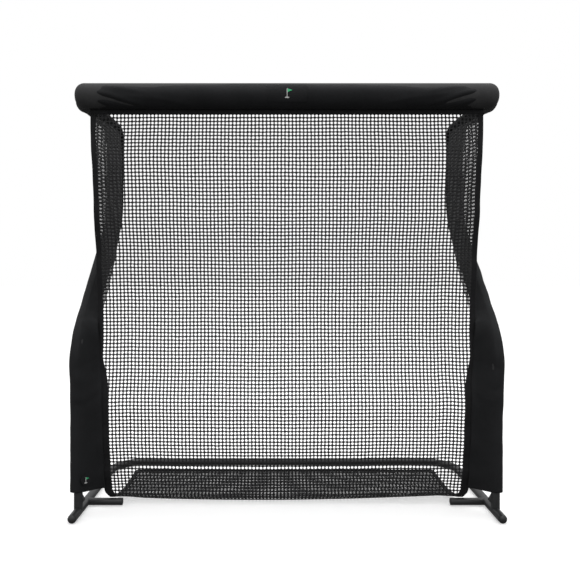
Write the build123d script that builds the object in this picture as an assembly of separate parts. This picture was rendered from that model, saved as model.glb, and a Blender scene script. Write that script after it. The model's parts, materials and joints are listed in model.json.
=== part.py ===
from build123d import *
import os
from math import asin, atan2, cos, pi, sin, tan

# A free-standing golf chipping net: a push-button tube frame, fabric sleeves on the side
# tubes, a padded top bar and one sheet of square mesh that hangs in front and lies back
# along the floor.  Millimetres.  X runs across, Y from front to back and Z up.  The origin
# is on the floor, at the centre of the frame's outline.

# ---- Frame sizes -------------------------------------------------------------------------
SPAN = 1460.0  # between the centre lines of the two side frames
HEIGHT = 1468.0  # floor to the centre line of the top bar
FRONT_REACH = 93.0  # upright's centre line forward to the tip of the front cap
BASE_DEPTH = 646.0  # upright's centre line back to the centre line of the rear crossbar
TOP_DEPTH = 546.0  # upright's centre line back to the centre line of the rear verticals
LOWER_BEND_Z = 611.0  # where the upright's and the slant's centre lines meet
UPPER_BEND_DROP = 393.0  # from the top bar down to where the slant meets the rear vertical
UPRIGHT_BEND = 180.0  # centre-line bend radii
ARM_BEND = 110.0
TOP_CORNER_BEND = 110.0
BASE_BEND = 130.0

# ---- Tube, spigots and snap buttons ------------------------------------------------------
TUBE_OD = 30.0
TUBE_WALL = 1.5
SPIGOT_GAP = 0.2  # radial clearance of a swaged end in the next tube
SPIGOT_LENGTH = 60.0
COLLAR_LENGTH = 3.0  # the wall that joins a swaged end to its tube
POST_TOP = 140.0  # shoulder of the welded post, where the lower upright sits
REAR_JOINT_DROP = 218.0  # from the top bar down to the joint in the rear vertical
BASE_CORNER_LEG = 30.0  # straight tube between a base bend and its shoulder
TOP_CORNER_LEG = 30.0
BUTTON_RADIUS = 3.9
BUTTON_GAP = 0.3
BUTTON_PROUD = 4.0  # how far a button's dome stands out of the tube
BUTTON_DOME = 1.6
FLANGE_RADIUS = 5.0
FLANGE_THICKNESS = 1.0
FLANGE_GAP = 0.4  # between the flange's rim and the spigot's bore
SPRING_WIDTH = 8.0
SPRING_THICKNESS = 0.8
SPRING_REACH = 40.0  # from the button back to the spring's bend
SPRING_TAIL = 6.0

# ---- Base fittings -----------------------------------------------------------------------
CAP_LENGTH = 15.0
PLUG_LENGTH = 22.0
PLUG_WALL = 2.0
PLUG_GAP = 0.2
POST_SEAT_Z = 22.0  # lowest point of the welded post
GUSSET_HEIGHT = 88.0
GUSSET_DEPTH = 87.0
GUSSET_THICKNESS = 4.0
STUB_OD = 26.0
STUB_BACK = 106.0  # upright's centre line back to the stub's
STUB_LENGTH = 133.0  # side tube's centre line in to the end of the stub's cap
STUB_CAP_LIP = 3.0

# ---- Soft parts --------------------------------------------------------------------------
FABRIC = 1.5
SLEEVE_GAP = 5.0  # room between a tube and its sleeve, for the button heads
SLEEVE_OUT = 26.0  # tube's centre line out to the sleeve's folded edge
SLEEVE_IN = 42.0  # tube's centre line in to the sleeve's sewn edge
SLEEVE_BOTTOM = 84.0
SLEEVE_SEAM_DROP = 118.0  # top bar down to the seam between side sleeve and arm sleeve
SLEEVE_VOID_SHORT = 4.5  # sewn edge in to where the two layers part
PAD_RADIUS = 43.7
PAD_BORE_GAP = 1.0
COVER_GAP = 0.3
COVER_OUT = 11.0  # side frame's centre line out to the end of the padded roll
COVER_END_ROUND = 34.0
COVER_ARM = 150.0  # how far back along the arms the cover reaches
HEM_DROP = 16.0
HEM_THICKNESS = 3.0
HEM_BACK = 9.0  # top bar's centre line back to the hem's mid plane
HEM_INSET = 40.0
SOFT_GAP = 0.3  # between neighbouring soft parts
PATCH_WIDTH = 137.0
PATCH_HEIGHT = 60.0
PATCH_THICKNESS = 1.0
BADGE_RADIUS = 17.0
BADGE_Z = 127.0
BADGE_OVERHANG = 1.8  # the badge's rim past the sleeve's sewn edge, along the front face
BADGE_THICKNESS = 1.0

# ---- Net ---------------------------------------------------------------------------------
NET_THICKNESS = 2.5
NET_TOP_INSET = 56.0  # side frame's centre line in to the mesh, at the top
NET_WAIST_INSET = 64.0
NET_FOOT_INSET = 91.0
NET_WAIST_Z = 560.0
NET_NARROW_Z = 430.0
BINDING_THICKNESS = 3.5
NET_TOP_BACK = 9.0  # how far behind the uprights' plane the mesh hangs, at each height
NET_CHEST_BACK = 15.0
NET_CHEST_DROP = 390.0
NET_BELLY_BACK = 76.0
NET_BELLY_Z = 650.0
NET_SHIN_BACK = 42.0
NET_SHIN_Z = 350.0
NET_TOE_BACK = 104.0
NET_TOE_Z = 44.0
FLOOR_NET_START = 168.0  # upright's centre line back to where the mesh meets the floor
FLOOR_NET_END = 535.0
FLOOR_NET_INSET = 108.0
FLOOR_Z = 0.0  # the mesh and its rear edge lie on the floor
HEM_CORD_WIDTH = 10.0
HEM_CORD_HEIGHT = 6.0
PANEL_THICKNESS = 2.0
PANEL_JOIN_RISE = 61.0  # from the lower bend up to where the mesh crosses the slanted tubes
PANEL_TAPER = 45.0

# ---- Worked out from the sizes above -----------------------------------------------------
TUBE_R = TUBE_OD / 2
BORE_R = TUBE_R - TUBE_WALL
SPIGOT_R = BORE_R - SPIGOT_GAP
SPIGOT_BORE_R = SPIGOT_R - TUBE_WALL
STUB_R = STUB_OD / 2
STUB_BORE_R = STUB_R - TUBE_WALL
SIDE_X = SPAN / 2
UPRIGHT_Y = FRONT_REACH - (FRONT_REACH + BASE_DEPTH + TUBE_R) / 2
CROSSBAR_Y = UPRIGHT_Y + BASE_DEPTH
REAR_Y = UPRIGHT_Y + TOP_DEPTH
STUB_Y = UPRIGHT_Y + STUB_BACK
FRONT_END_Y = UPRIGHT_Y - FRONT_REACH + CAP_LENGTH
UPPER_BEND_Z = HEIGHT - UPPER_BEND_DROP
PANEL_JOIN_Z = LOWER_BEND_Z + PANEL_JOIN_RISE
SLANT = atan2(TOP_DEPTH, UPPER_BEND_Z - LOWER_BEND_Z)
COVER_R = PAD_RADIUS + COVER_GAP + FABRIC
HEM_TOP = HEIGHT - SOFT_GAP - (COVER_R**2 - (HEM_BACK - HEM_THICKNESS / 2) ** 2) ** 0.5
HEM_BOTTOM = HEM_TOP - HEM_DROP
BINDING_X = SIDE_X - SLEEVE_IN - SOFT_GAP
PANEL_X = SIDE_X - SLEEVE_IN - SOFT_GAP - PANEL_THICKNESS / 2
BUTTON_AT = SPIGOT_LENGTH / 2
FLANGE_OUT = (SPIGOT_BORE_R - FLANGE_GAP) * cos(asin(FLANGE_RADIUS / SPIGOT_BORE_R))
FLANGE_IN = FLANGE_OUT - FLANGE_THICKNESS
INWARD = (-1, 0, 0)
UP = (0, 0, 1)

LOWER_CORNER = Vector(SIDE_X, UPRIGHT_Y, LOWER_BEND_Z)
UPPER_CORNER = Vector(SIDE_X, REAR_Y, UPPER_BEND_Z)
SLANT_MIDDLE = (LOWER_CORNER + UPPER_CORNER) * 0.5
REAR_TOP = Vector(SIDE_X, REAR_Y, HEIGHT)
FRONT_TOP = Vector(SIDE_X, UPRIGHT_Y, HEIGHT)
TOP_BAR_X = SIDE_X - TOP_CORNER_BEND - TOP_CORNER_LEG
BASE_CORNER = Vector(SIDE_X, CROSSBAR_Y, TUBE_R)

# Each tube joint on the right-hand side: the plane's origin is on the shoulder, its normal
# points along the swaged end, and its X direction is the way the snap button faces.
JOINTS = {
    "post": Plane((SIDE_X, UPRIGHT_Y, POST_TOP), x_dir=INWARD, z_dir=UP),
    "slant": Plane(SLANT_MIDDLE, x_dir=INWARD, z_dir=(0, sin(SLANT), cos(SLANT))),
    "rear": Plane((SIDE_X, REAR_Y, HEIGHT - REAR_JOINT_DROP), x_dir=INWARD, z_dir=UP),
    "top": Plane((TOP_BAR_X, UPRIGHT_Y, HEIGHT), x_dir=(0, 0, -1), z_dir=INWARD),
    "base_side": Plane(
        (SIDE_X, CROSSBAR_Y - BASE_BEND - BASE_CORNER_LEG, TUBE_R), x_dir=UP, z_dir=(0, -1, 0)
    ),
    "base_rear": Plane(
        (SIDE_X - BASE_BEND - BASE_CORNER_LEG, CROSSBAR_Y, TUBE_R), x_dir=UP, z_dir=INWARD
    ),
}


# ---- Helpers -----------------------------------------------------------------------------
def rod(start, direction, radius, length):
    """A solid cylinder from a point along a direction."""
    plane = Plane(start, z_dir=direction)
    return extrude(plane * Circle(radius), amount=length, dir=plane.z_dir)


def swept(points, radii, radius):
    """A solid round bar along straight runs joined by tangent arcs."""
    path = FilletPolyline(*points, radius=radii)
    start = Plane(path @ 0, z_dir=path % 0)
    return sweep(start * Circle(radius), path=path)


def bent_tube(points, radii):
    return swept(points, radii, TUBE_R) - swept(points, radii, BORE_R)


def straight_tube(start, end):
    run = Vector(*end) - Vector(*start)
    tube = rod(start, run, TUBE_R, run.length)
    return tube - rod(start, run, BORE_R, run.length)


def spigot(joint):
    """The swaged end that stands out of a shoulder, with the collar that carries it."""
    origin = joint.origin
    back = origin - joint.z_dir * COLLAR_LENGTH
    collar = rod(back, joint.z_dir, TUBE_R, COLLAR_LENGTH)
    neck = rod(back, joint.z_dir, SPIGOT_R, COLLAR_LENGTH + SPIGOT_LENGTH)
    bore = rod(back, joint.z_dir, SPIGOT_BORE_R, COLLAR_LENGTH + SPIGOT_LENGTH)
    return collar + neck - bore


def button_hole(joint):
    centre = joint.origin + joint.z_dir * BUTTON_AT
    return rod(centre, joint.x_dir, BUTTON_RADIUS + BUTTON_GAP, TUBE_OD)


def snap_button(joint):
    """A domed pin with a flange that stops it against the inside of the spigot."""
    centre = joint.origin + joint.z_dir * BUTTON_AT
    length = TUBE_R + BUTTON_PROUD - FLANGE_IN
    pin = rod(centre + joint.x_dir * FLANGE_IN, joint.x_dir, BUTTON_RADIUS, length)
    pin = fillet(pin.faces().sort_by(Axis(centre, joint.x_dir))[-1].edges(), BUTTON_DOME)
    flange_start = centre + joint.x_dir * FLANGE_IN
    return pin + rod(flange_start, joint.x_dir, FLANGE_RADIUS, FLANGE_THICKNESS)


def button_spring(joint):
    """A hairpin strip: one leg under the button, the other against the far wall."""
    half = SPRING_WIDTH / 2
    far = (SPIGOT_BORE_R - FLANGE_GAP) * cos(asin(half / SPIGOT_BORE_R))
    middle = (FLANGE_IN - far) / 2
    outer = (FLANGE_IN + far) / 2
    flat = Plane(joint.origin + joint.z_dir * BUTTON_AT, x_dir=joint.x_dir, z_dir=joint.y_dir)
    # In this plane X is the button's direction; the bend lies back past the shoulder.
    sense = 1 if flat.to_local_coords(Vector(joint.origin)).Y > 0 else -1
    bend_y = sense * SPRING_REACH
    ring = Pos(middle, bend_y) * (Circle(outer) - Circle(outer - SPRING_THICKNESS))
    keep = Pos(middle, bend_y + sense * outer) * Rectangle(2 * outer, 2 * outer)
    leg_length = SPRING_REACH + SPRING_TAIL
    leg_y = sense * (SPRING_REACH - leg_length / 2)
    shift = outer - SPRING_THICKNESS / 2
    legs = Pos(middle - shift, leg_y) * Rectangle(SPRING_THICKNESS, leg_length)
    legs += Pos(middle + shift, leg_y) * Rectangle(SPRING_THICKNESS, leg_length)
    return extrude(flat * (ring & keep) + flat * legs, amount=half, both=True)


def both_sides(name, solid):
    """Name the right-hand piece and its mirror image."""
    return {f"{name}_right": solid, f"{name}_left": mirror(solid, about=Plane.YZ)}


# ---- Base --------------------------------------------------------------------------------
def base_side_tube():
    joint = JOINTS["base_side"]
    tube = straight_tube((SIDE_X, FRONT_END_Y, TUBE_R), joint.origin)
    return tube - button_hole(joint)


def front_cap():
    """A domed plastic end with a hollow plug inside the tube."""
    start = Vector(SIDE_X, FRONT_END_Y, TUBE_R)
    dome = rod(start, (0, -1, 0), TUBE_R, CAP_LENGTH)
    rim = dome.faces().sort_by(Axis.Y)[0].edges()
    dome = fillet(rim, min(CAP_LENGTH, TUBE_R) - 1)
    plug_r = BORE_R - PLUG_GAP
    plug = rod(start, (0, 1, 0), plug_r, PLUG_LENGTH)
    return dome + plug - rod(start, (0, 1, 0), plug_r - PLUG_WALL, PLUG_LENGTH)


def side_tube_envelope():
    return rod((SIDE_X, FRONT_END_Y, TUBE_R), (0, 1, 0), TUBE_R, BASE_DEPTH)


def post():
    """The short tube welded on the side tube, with the spigot for the upright."""
    joint = JOINTS["post"]
    body = straight_tube((SIDE_X, UPRIGHT_Y, POST_SEAT_Z), joint.origin)
    return body + spigot(joint) - side_tube_envelope() - button_hole(joint)


def gusset():
    """A triangular plate in the corner behind the post."""
    outline = Polyline(
        (UPRIGHT_Y, TUBE_R),
        (UPRIGHT_Y + GUSSET_DEPTH, TUBE_R),
        (UPRIGHT_Y + GUSSET_DEPTH, TUBE_OD),
        (UPRIGHT_Y + TUBE_R, GUSSET_HEIGHT),
        (UPRIGHT_Y, GUSSET_HEIGHT),
        close=True,
    )
    plane = Plane((SIDE_X, 0, 0), x_dir=(0, 1, 0), z_dir=(1, 0, 0))
    plate = extrude(plane * make_face(outline), amount=GUSSET_THICKNESS / 2, both=True)
    post_envelope = rod((SIDE_X, UPRIGHT_Y, 0), UP, TUBE_R, POST_TOP)
    return plate - side_tube_envelope() - post_envelope


def net_stub():
    """The tube welded to the inside of the side tube, which the net's corner rests on."""
    length = STUB_LENGTH - STUB_CAP_LIP
    start = (SIDE_X, STUB_Y, TUBE_R)
    tube = rod(start, INWARD, STUB_R, length) - rod(start, INWARD, STUB_BORE_R, length)
    return tube - side_tube_envelope()


def stub_cap():
    seat = Vector(SIDE_X - STUB_LENGTH + STUB_CAP_LIP, STUB_Y, TUBE_R)
    lip = rod(seat, INWARD, STUB_R, STUB_CAP_LIP)
    lip = fillet(lip.faces().sort_by(Axis.X)[0].edges(), STUB_CAP_LIP / 2)
    plug_r = STUB_BORE_R - PLUG_GAP
    plug = rod(seat, (1, 0, 0), plug_r, PLUG_LENGTH)
    return lip + plug - rod(seat, (1, 0, 0), plug_r - PLUG_WALL, PLUG_LENGTH)


def base_corner():
    """The bend at the back, with a swaged end each way."""
    to_side, to_rear = JOINTS["base_side"], JOINTS["base_rear"]
    tube = bent_tube([to_side.origin, BASE_CORNER, to_rear.origin], BASE_BEND)
    tube += spigot(to_side) + spigot(to_rear)
    return tube - button_hole(to_side) - button_hole(to_rear)


def joint_to_joint_tube(joint):
    """A straight tube from a joint on the right to its mirror image on the left."""
    end = joint.origin
    tube = straight_tube((-end.X, end.Y, end.Z), end)
    hole = button_hole(joint)
    return tube - hole - mirror(hole, about=Plane.YZ)


# ---- Uprights and arms -------------------------------------------------------------------
def lower_upright():
    start, end = JOINTS["post"], JOINTS["slant"]
    tube = bent_tube([start.origin, LOWER_CORNER, end.origin], UPRIGHT_BEND)
    return tube + spigot(end) - button_hole(start) - button_hole(end)


def upper_upright():
    start, end = JOINTS["slant"], JOINTS["rear"]
    tube = bent_tube([start.origin, UPPER_CORNER, end.origin], UPRIGHT_BEND)
    return tube + spigot(end) - button_hole(start) - button_hole(end)


def top_arm():
    start, end = JOINTS["rear"], JOINTS["top"]
    points = [start.origin, REAR_TOP, FRONT_TOP, end.origin]
    tube = bent_tube(points, [ARM_BEND, TOP_CORNER_BEND])
    return tube + spigot(end) - button_hole(start) - button_hole(end)


# ---- Padded top bar ----------------------------------------------------------------------
def roll(radius, half_length, end_round):
    """A round-ended cylinder about the top bar."""
    bar = rod((-half_length, UPRIGHT_Y, HEIGHT), (1, 0, 0), radius, 2 * half_length)
    ends = bar.edges().filter_by(GeomType.CIRCLE)
    return fillet(ends, end_round)


def arm_envelope(radius, back):
    """A bar round the top corner and back along the arm, on the right."""
    points = [(TOP_BAR_X, UPRIGHT_Y, HEIGHT), FRONT_TOP, (SIDE_X, UPRIGHT_Y + back, HEIGHT)]
    return swept(points, TOP_CORNER_BEND, radius)


def top_pad():
    """Closed-cell foam round the top bar, open for the arms and the two buttons."""
    half = SIDE_X + COVER_OUT - FABRIC - COVER_GAP
    pad = roll(PAD_RADIUS, half, COVER_END_ROUND - FABRIC)
    bore_r = TUBE_R + PAD_BORE_GAP
    pad -= rod((-TOP_BAR_X, UPRIGHT_Y, HEIGHT), (1, 0, 0), bore_r, 2 * TOP_BAR_X)
    joint = JOINTS["top"]
    room = rod(
        joint.origin + joint.z_dir * BUTTON_AT,
        joint.x_dir,
        BUTTON_RADIUS + PAD_BORE_GAP,
        TUBE_R + BUTTON_PROUD + PAD_BORE_GAP,
    )
    right = arm_envelope(bore_r, COVER_ARM)
    for cut in (right, room):
        pad -= cut
        pad -= mirror(cut, about=Plane.YZ)
    return pad


def top_cover():
    """The fabric cover: a shell round the pad, drawn in over the arms behind the corners."""
    outer = roll(COVER_R, SIDE_X + COVER_OUT, COVER_END_ROUND)
    inner = roll(COVER_R - FABRIC, SIDE_X + COVER_OUT - FABRIC, COVER_END_ROUND - FABRIC)
    outer_arm = arm_envelope(SLEEVE_OUT, COVER_ARM)
    inner_arm = arm_envelope(SLEEVE_OUT - FABRIC, COVER_ARM)
    shell = outer + outer_arm + mirror(outer_arm, about=Plane.YZ)
    return shell - inner - inner_arm - mirror(inner_arm, about=Plane.YZ)


def top_hem():
    """The webbing along the cover's lower edge that the mesh is sewn to."""
    half_x = SIDE_X - HEM_INSET
    strip = Box(2 * half_x, HEM_THICKNESS, HEM_DROP, align=(Align.CENTER, Align.CENTER, Align.MAX))
    return Pos(0, UPRIGHT_Y + HEM_BACK, HEM_TOP) * strip


def cover_patch():
    """A plain oblong patch on the front of the roll."""
    radius = COVER_R + SOFT_GAP
    start = (-PATCH_WIDTH / 2, UPRIGHT_Y, HEIGHT)
    ring = rod(start, (1, 0, 0), radius + PATCH_THICKNESS, PATCH_WIDTH)
    ring -= rod(start, (1, 0, 0), radius, PATCH_WIDTH)
    window = Box(PATCH_WIDTH, 2 * COVER_R, PATCH_HEIGHT, align=(Align.CENTER, Align.MAX, Align.CENTER))
    return ring & Pos(0, UPRIGHT_Y, HEIGHT) * window


# ---- Sleeves -----------------------------------------------------------------------------
def sleeve_section(start, forward):
    """A flattened loop of fabric: round the tube, with a sewn edge towards the net."""
    lip = FABRIC
    void_lip = FABRIC / 4
    loop_r = TUBE_R + SLEEVE_GAP
    outside = Circle(loop_r + FABRIC).edges()
    outside += (Pos(SLEEVE_IN - lip, 0) * Circle(lip)).edges()
    outside += (Pos(lip - SLEEVE_OUT, 0) * Circle(lip)).edges()
    inside = Circle(loop_r).edges()
    inside += (Pos(SLEEVE_IN - SLEEVE_VOID_SHORT - FABRIC, 0) * Circle(void_lip)).edges()
    inside += (Pos(SLEEVE_VOID_SHORT / 2 - SLEEVE_OUT + void_lip, 0) * Circle(void_lip)).edges()
    plane = Plane(start, x_dir=INWARD, z_dir=forward)
    return plane * make_hull(outside), plane * make_hull(inside)


def sleeve(points, radii):
    path = FilletPolyline(*points, radius=radii)
    outside, inside = sleeve_section(path @ 0, path % 0)
    return sweep(outside, path=path) - sweep(inside, path=path)


def side_sleeve():
    points = [
        (SIDE_X, UPRIGHT_Y, SLEEVE_BOTTOM),
        LOWER_CORNER,
        UPPER_CORNER,
        (SIDE_X, REAR_Y, HEIGHT - SLEEVE_SEAM_DROP - SOFT_GAP),
    ]
    return sleeve(points, [UPRIGHT_BEND, UPRIGHT_BEND])


def arm_sleeve():
    points = [
        (SIDE_X, REAR_Y, HEIGHT - SLEEVE_SEAM_DROP),
        REAR_TOP,
        (SIDE_X, UPRIGHT_Y + COVER_ARM + SOFT_GAP, HEIGHT),
    ]
    return sleeve(points, ARM_BEND)


def sleeve_badge():
    """A plain round badge on the front face of the left sleeve."""
    loop_r = TUBE_R + SLEEVE_GAP + FABRIC
    tip = SLEEVE_IN - FABRIC
    lean = asin((loop_r - FABRIC) / tip)
    out = Vector(sin(lean), -cos(lean), 0)
    along = Vector(cos(lean), sin(lean), 0)
    inward = tip * cos(lean) + BADGE_OVERHANG - BADGE_RADIUS
    centre = Vector(-SIDE_X, UPRIGHT_Y, BADGE_Z) + out * (loop_r + SOFT_GAP) + along * inward
    return rod(centre, out, BADGE_RADIUS, BADGE_THICKNESS)


# ---- Net ---------------------------------------------------------------------------------
# The hanging mesh seen from the side: distance behind the uprights, and height.
NET_PROFILE = [
    (NET_TOP_BACK, HEM_BOTTOM - SOFT_GAP),
    (NET_CHEST_BACK, HEIGHT - NET_CHEST_DROP),
    (NET_BELLY_BACK, NET_BELLY_Z),
    (NET_SHIN_BACK, NET_SHIN_Z),
    (NET_TOE_BACK, NET_TOE_Z),
]


def net_back(z):
    """How far behind the uprights the hanging mesh is at a height."""
    for (upper_back, upper_z), (lower_back, lower_z) in zip(NET_PROFILE, NET_PROFILE[1:]):
        if z >= lower_z:
            share = (upper_z - z) / (upper_z - lower_z)
            return upper_back + share * (lower_back - upper_back)
    return NET_TOE_BACK


def side_view(points, x, thickness):
    """A plate with an outline in the YZ plane, standing at one X."""
    plane = Plane((x, 0, 0), x_dir=(0, 1, 0), z_dir=(1, 0, 0))
    outline = Polyline(*[(UPRIGHT_Y + back, z) for back, z in points], close=True)
    return extrude(plane * make_face(outline), amount=thickness / 2, both=True)


def hanging_sheet(half_thickness):
    front = [(back - half_thickness, z) for back, z in NET_PROFILE]
    rear = [(back + half_thickness, z) for back, z in reversed(NET_PROFILE)]
    return side_view(front + rear, 0, SPAN)


def front_outline(top_x, waist_x, foot_x):
    """A prism with the sheet's outline as seen from the front."""
    right = [
        (top_x, NET_PROFILE[0][1]),
        (waist_x, NET_WAIST_Z),
        (foot_x, NET_NARROW_Z),
        (foot_x, NET_TOE_Z),
    ]
    left = [(-x, z) for x, z in reversed(right)]
    plane = Plane.XZ.offset(-UPRIGHT_Y - BASE_DEPTH)
    return extrude(plane * make_face(Polyline(*(right + left), close=True)), amount=2 * BASE_DEPTH)


def main_net():
    outline = front_outline(
        SIDE_X - NET_TOP_INSET, SIDE_X - NET_WAIST_INSET, SIDE_X - NET_FOOT_INSET
    )
    return hanging_sheet(NET_THICKNESS / 2) & outline


def net_binding():
    """The webbing down the right-hand edge of the hanging mesh."""
    mesh = front_outline(
        SIDE_X - NET_TOP_INSET + SOFT_GAP,
        SIDE_X - NET_WAIST_INSET + SOFT_GAP,
        SIDE_X - NET_FOOT_INSET + SOFT_GAP,
    )
    webbing = front_outline(BINDING_X, BINDING_X, BINDING_X)
    strip = hanging_sheet(BINDING_THICKNESS / 2) & (webbing - mesh)
    return strip.solids().sort_by(Axis.X)[-1]


def floor_net():
    """The mesh from the stubs down to the floor and back along it."""
    start = NET_TOE_Z - SOFT_GAP - NET_THICKNESS
    low = [
        (NET_TOE_BACK, start),
        (NET_TOE_BACK + NET_THICKNESS, start),
        (FLOOR_NET_START, FLOOR_Z),
        (FLOOR_NET_END, FLOOR_Z),
    ]
    high = [(back, z + NET_THICKNESS) for back, z in reversed(low)]
    return side_view(low + high, 0, 2 * (SIDE_X - FLOOR_NET_INSET))


def floor_edge():
    """The bound side edge, taut from the top of the stub to the rear corner on the floor."""
    half = HEM_CORD_HEIGHT / 2
    start_z = TUBE_R + STUB_R + half + SOFT_GAP
    points = [
        (NET_TOE_BACK, start_z - half),
        (FLOOR_NET_END, FLOOR_Z),
        (FLOOR_NET_END, FLOOR_Z + HEM_CORD_HEIGHT),
        (NET_TOE_BACK, start_z + half),
    ]
    return side_view(points, SIDE_X - FLOOR_NET_INSET + HEM_CORD_WIDTH / 2 + SOFT_GAP, HEM_CORD_WIDTH)


def rear_hem():
    """The bound edge across the back of the floor net."""
    cord = Box(
        2 * (SIDE_X - FLOOR_NET_INSET + HEM_CORD_WIDTH),
        HEM_CORD_WIDTH,
        HEM_CORD_HEIGHT,
        align=(Align.CENTER, Align.MIN, Align.MIN),
    )
    return Pos(0, UPRIGHT_Y + FLOOR_NET_END + SOFT_GAP, FLOOR_Z) * cord


def edge_panel():
    """Fabric from the upright's sleeve back to the edge of the hanging mesh."""
    clear = BINDING_THICKNESS / 2 + SOFT_GAP
    bend_start = LOWER_BEND_Z - UPRIGHT_BEND * tan(SLANT / 2)
    top_z = PANEL_JOIN_Z - PANEL_TAPER
    points = [
        (0, SLEEVE_BOTTOM),
        (0, bend_start),
        (PANEL_TAPER / 2, (bend_start + top_z) / 2 + PANEL_TAPER / 2),
        (net_back(top_z) - clear, top_z),
        (net_back(NET_SHIN_Z) - clear, NET_SHIN_Z),
        (net_back(SLEEVE_BOTTOM) - clear, SLEEVE_BOTTOM),
    ]
    return side_view(points, PANEL_X, PANEL_THICKNESS)


def side_net():
    """Mesh from the edge of the hanging sheet back to the sleeve on the rear tubes."""
    clear = BINDING_THICKNESS / 2 + SOFT_GAP
    chest_z = HEIGHT - NET_CHEST_DROP
    low_z = PANEL_JOIN_Z + PANEL_TAPER
    low_back = (low_z - LOWER_BEND_Z) * tan(SLANT)
    points = [
        (net_back(low_z) + clear, low_z),
        (net_back(chest_z) + clear, chest_z),
        (net_back(HEM_BOTTOM) + clear, HEM_BOTTOM - SOFT_GAP),
        (NET_TOP_BACK + ARM_BEND, HEIGHT - COVER_R),
        (COVER_ARM, HEIGHT),
        (TOP_DEPTH - ARM_BEND, HEIGHT),
        (TOP_DEPTH - ARM_BEND * (1 - sin(pi / 4)), HEIGHT - ARM_BEND * (1 - sin(pi / 4))),
        (TOP_DEPTH, HEIGHT - ARM_BEND),
        (TOP_DEPTH, UPPER_BEND_Z + UPRIGHT_BEND * tan(SLANT / 2)),
        (TOP_DEPTH - UPRIGHT_BEND * tan(SLANT / 2) * sin(SLANT), UPPER_BEND_Z
         - UPRIGHT_BEND * tan(SLANT / 2) * cos(SLANT)),
        (low_back, low_z),
    ]
    return side_view(points, PANEL_X, PANEL_THICKNESS)


# ---- Every piece by name -----------------------------------------------------------------
def build():
    pieces = {
        "base_crossbar": joint_to_joint_tube(JOINTS["base_rear"]),
        "top_bar": joint_to_joint_tube(JOINTS["top"]),
        "top_pad": top_pad(),
        "top_cover": top_cover(),
        "top_hem": top_hem(),
        "cover_patch": cover_patch(),
        "sleeve_badge": sleeve_badge(),
        "main_net": main_net(),
        "floor_net": floor_net(),
        "rear_hem": rear_hem(),
    }
    paired = {
        "base_side_tube": base_side_tube,
        "front_cap": front_cap,
        "post": post,
        "gusset": gusset,
        "net_stub": net_stub,
        "stub_cap": stub_cap,
        "base_corner": base_corner,
        "lower_upright": lower_upright,
        "upper_upright": upper_upright,
        "top_arm": top_arm,
        "side_sleeve": side_sleeve,
        "arm_sleeve": arm_sleeve,
        "edge_panel": edge_panel,
        "side_net": side_net,
        "net_binding": net_binding,
        "floor_edge": floor_edge,
    }
    for name, make in paired.items():
        pieces.update(both_sides(name, make()))
    springs = []
    for name, joint in JOINTS.items():
        pieces.update(both_sides(f"{name}_button", snap_button(joint)))
        spring = button_spring(joint)
        springs += [spring, mirror(spring, about=Plane.YZ)]
    pieces["button_springs"] = Compound(springs)
    return pieces


if __name__ == "__main__":
    os.makedirs("parts", exist_ok=True)
    for node, solid in build().items():
        export_step(solid, f"parts/{node}.step")
        print(node, round(solid.volume))
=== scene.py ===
"""Golf chipping net: the soft parts, finishes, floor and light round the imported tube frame.

The file is laid out as an add-on and run as a script.  Metres throughout; X runs across,
Y from front to back, Z up, with the origin on the floor at the centre of the frame.
"""

import json
import math

import bmesh
import bpy
from bpy.props import FloatProperty, FloatVectorProperty, IntProperty, PointerProperty
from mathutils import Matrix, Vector, noise


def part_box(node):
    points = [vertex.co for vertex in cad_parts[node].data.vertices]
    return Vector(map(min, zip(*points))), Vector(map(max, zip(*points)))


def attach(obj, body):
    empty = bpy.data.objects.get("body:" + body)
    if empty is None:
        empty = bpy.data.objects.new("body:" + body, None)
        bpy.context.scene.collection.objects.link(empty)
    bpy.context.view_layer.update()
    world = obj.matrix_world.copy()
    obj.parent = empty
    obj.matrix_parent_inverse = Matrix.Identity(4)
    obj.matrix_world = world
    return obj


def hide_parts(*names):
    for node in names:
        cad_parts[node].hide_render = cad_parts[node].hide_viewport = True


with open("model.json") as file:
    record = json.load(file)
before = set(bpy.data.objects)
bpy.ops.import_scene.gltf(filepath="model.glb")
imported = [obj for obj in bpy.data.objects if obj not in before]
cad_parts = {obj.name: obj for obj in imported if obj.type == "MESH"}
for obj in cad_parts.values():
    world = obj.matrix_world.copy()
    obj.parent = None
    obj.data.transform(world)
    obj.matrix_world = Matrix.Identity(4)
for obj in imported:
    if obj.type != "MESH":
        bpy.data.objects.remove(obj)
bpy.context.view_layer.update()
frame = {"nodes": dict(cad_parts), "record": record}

bl_info = {
    "name": "Chipping Net Dressing",
    "version": (1, 0, 0),
    "blender": (4, 5, 0),
    "location": "3D View > Sidebar > Chipping Net",
    "description": "Mesh, sleeves, padded bar and finishes for a tube-framed golf net",
    "category": "Object",
}

ROOT = "frame"
SIDES = {"right": 1, "left": -1}

# ---- Places read from the frame ------------------------------------------------------------
POST_LOW, POST_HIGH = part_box("post_right")
BAR_LOW, BAR_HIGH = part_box("top_bar")
SLEEVE_LOW, SLEEVE_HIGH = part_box("side_sleeve_right")
HEM_LOW, HEM_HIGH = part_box("top_hem")
PATCH_LOW, PATCH_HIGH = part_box("cover_patch")
BADGE_LOW, BADGE_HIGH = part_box("sleeve_badge")
STUB_LOW, STUB_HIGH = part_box("net_stub_right")
REAR_HEM_LOW, REAR_HEM_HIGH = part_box("rear_hem")
ROLL_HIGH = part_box("top_cover")[1]
FLOOR_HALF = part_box("floor_net")[1].x
ARM_FRONT_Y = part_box("arm_sleeve_right")[0].y

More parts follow.
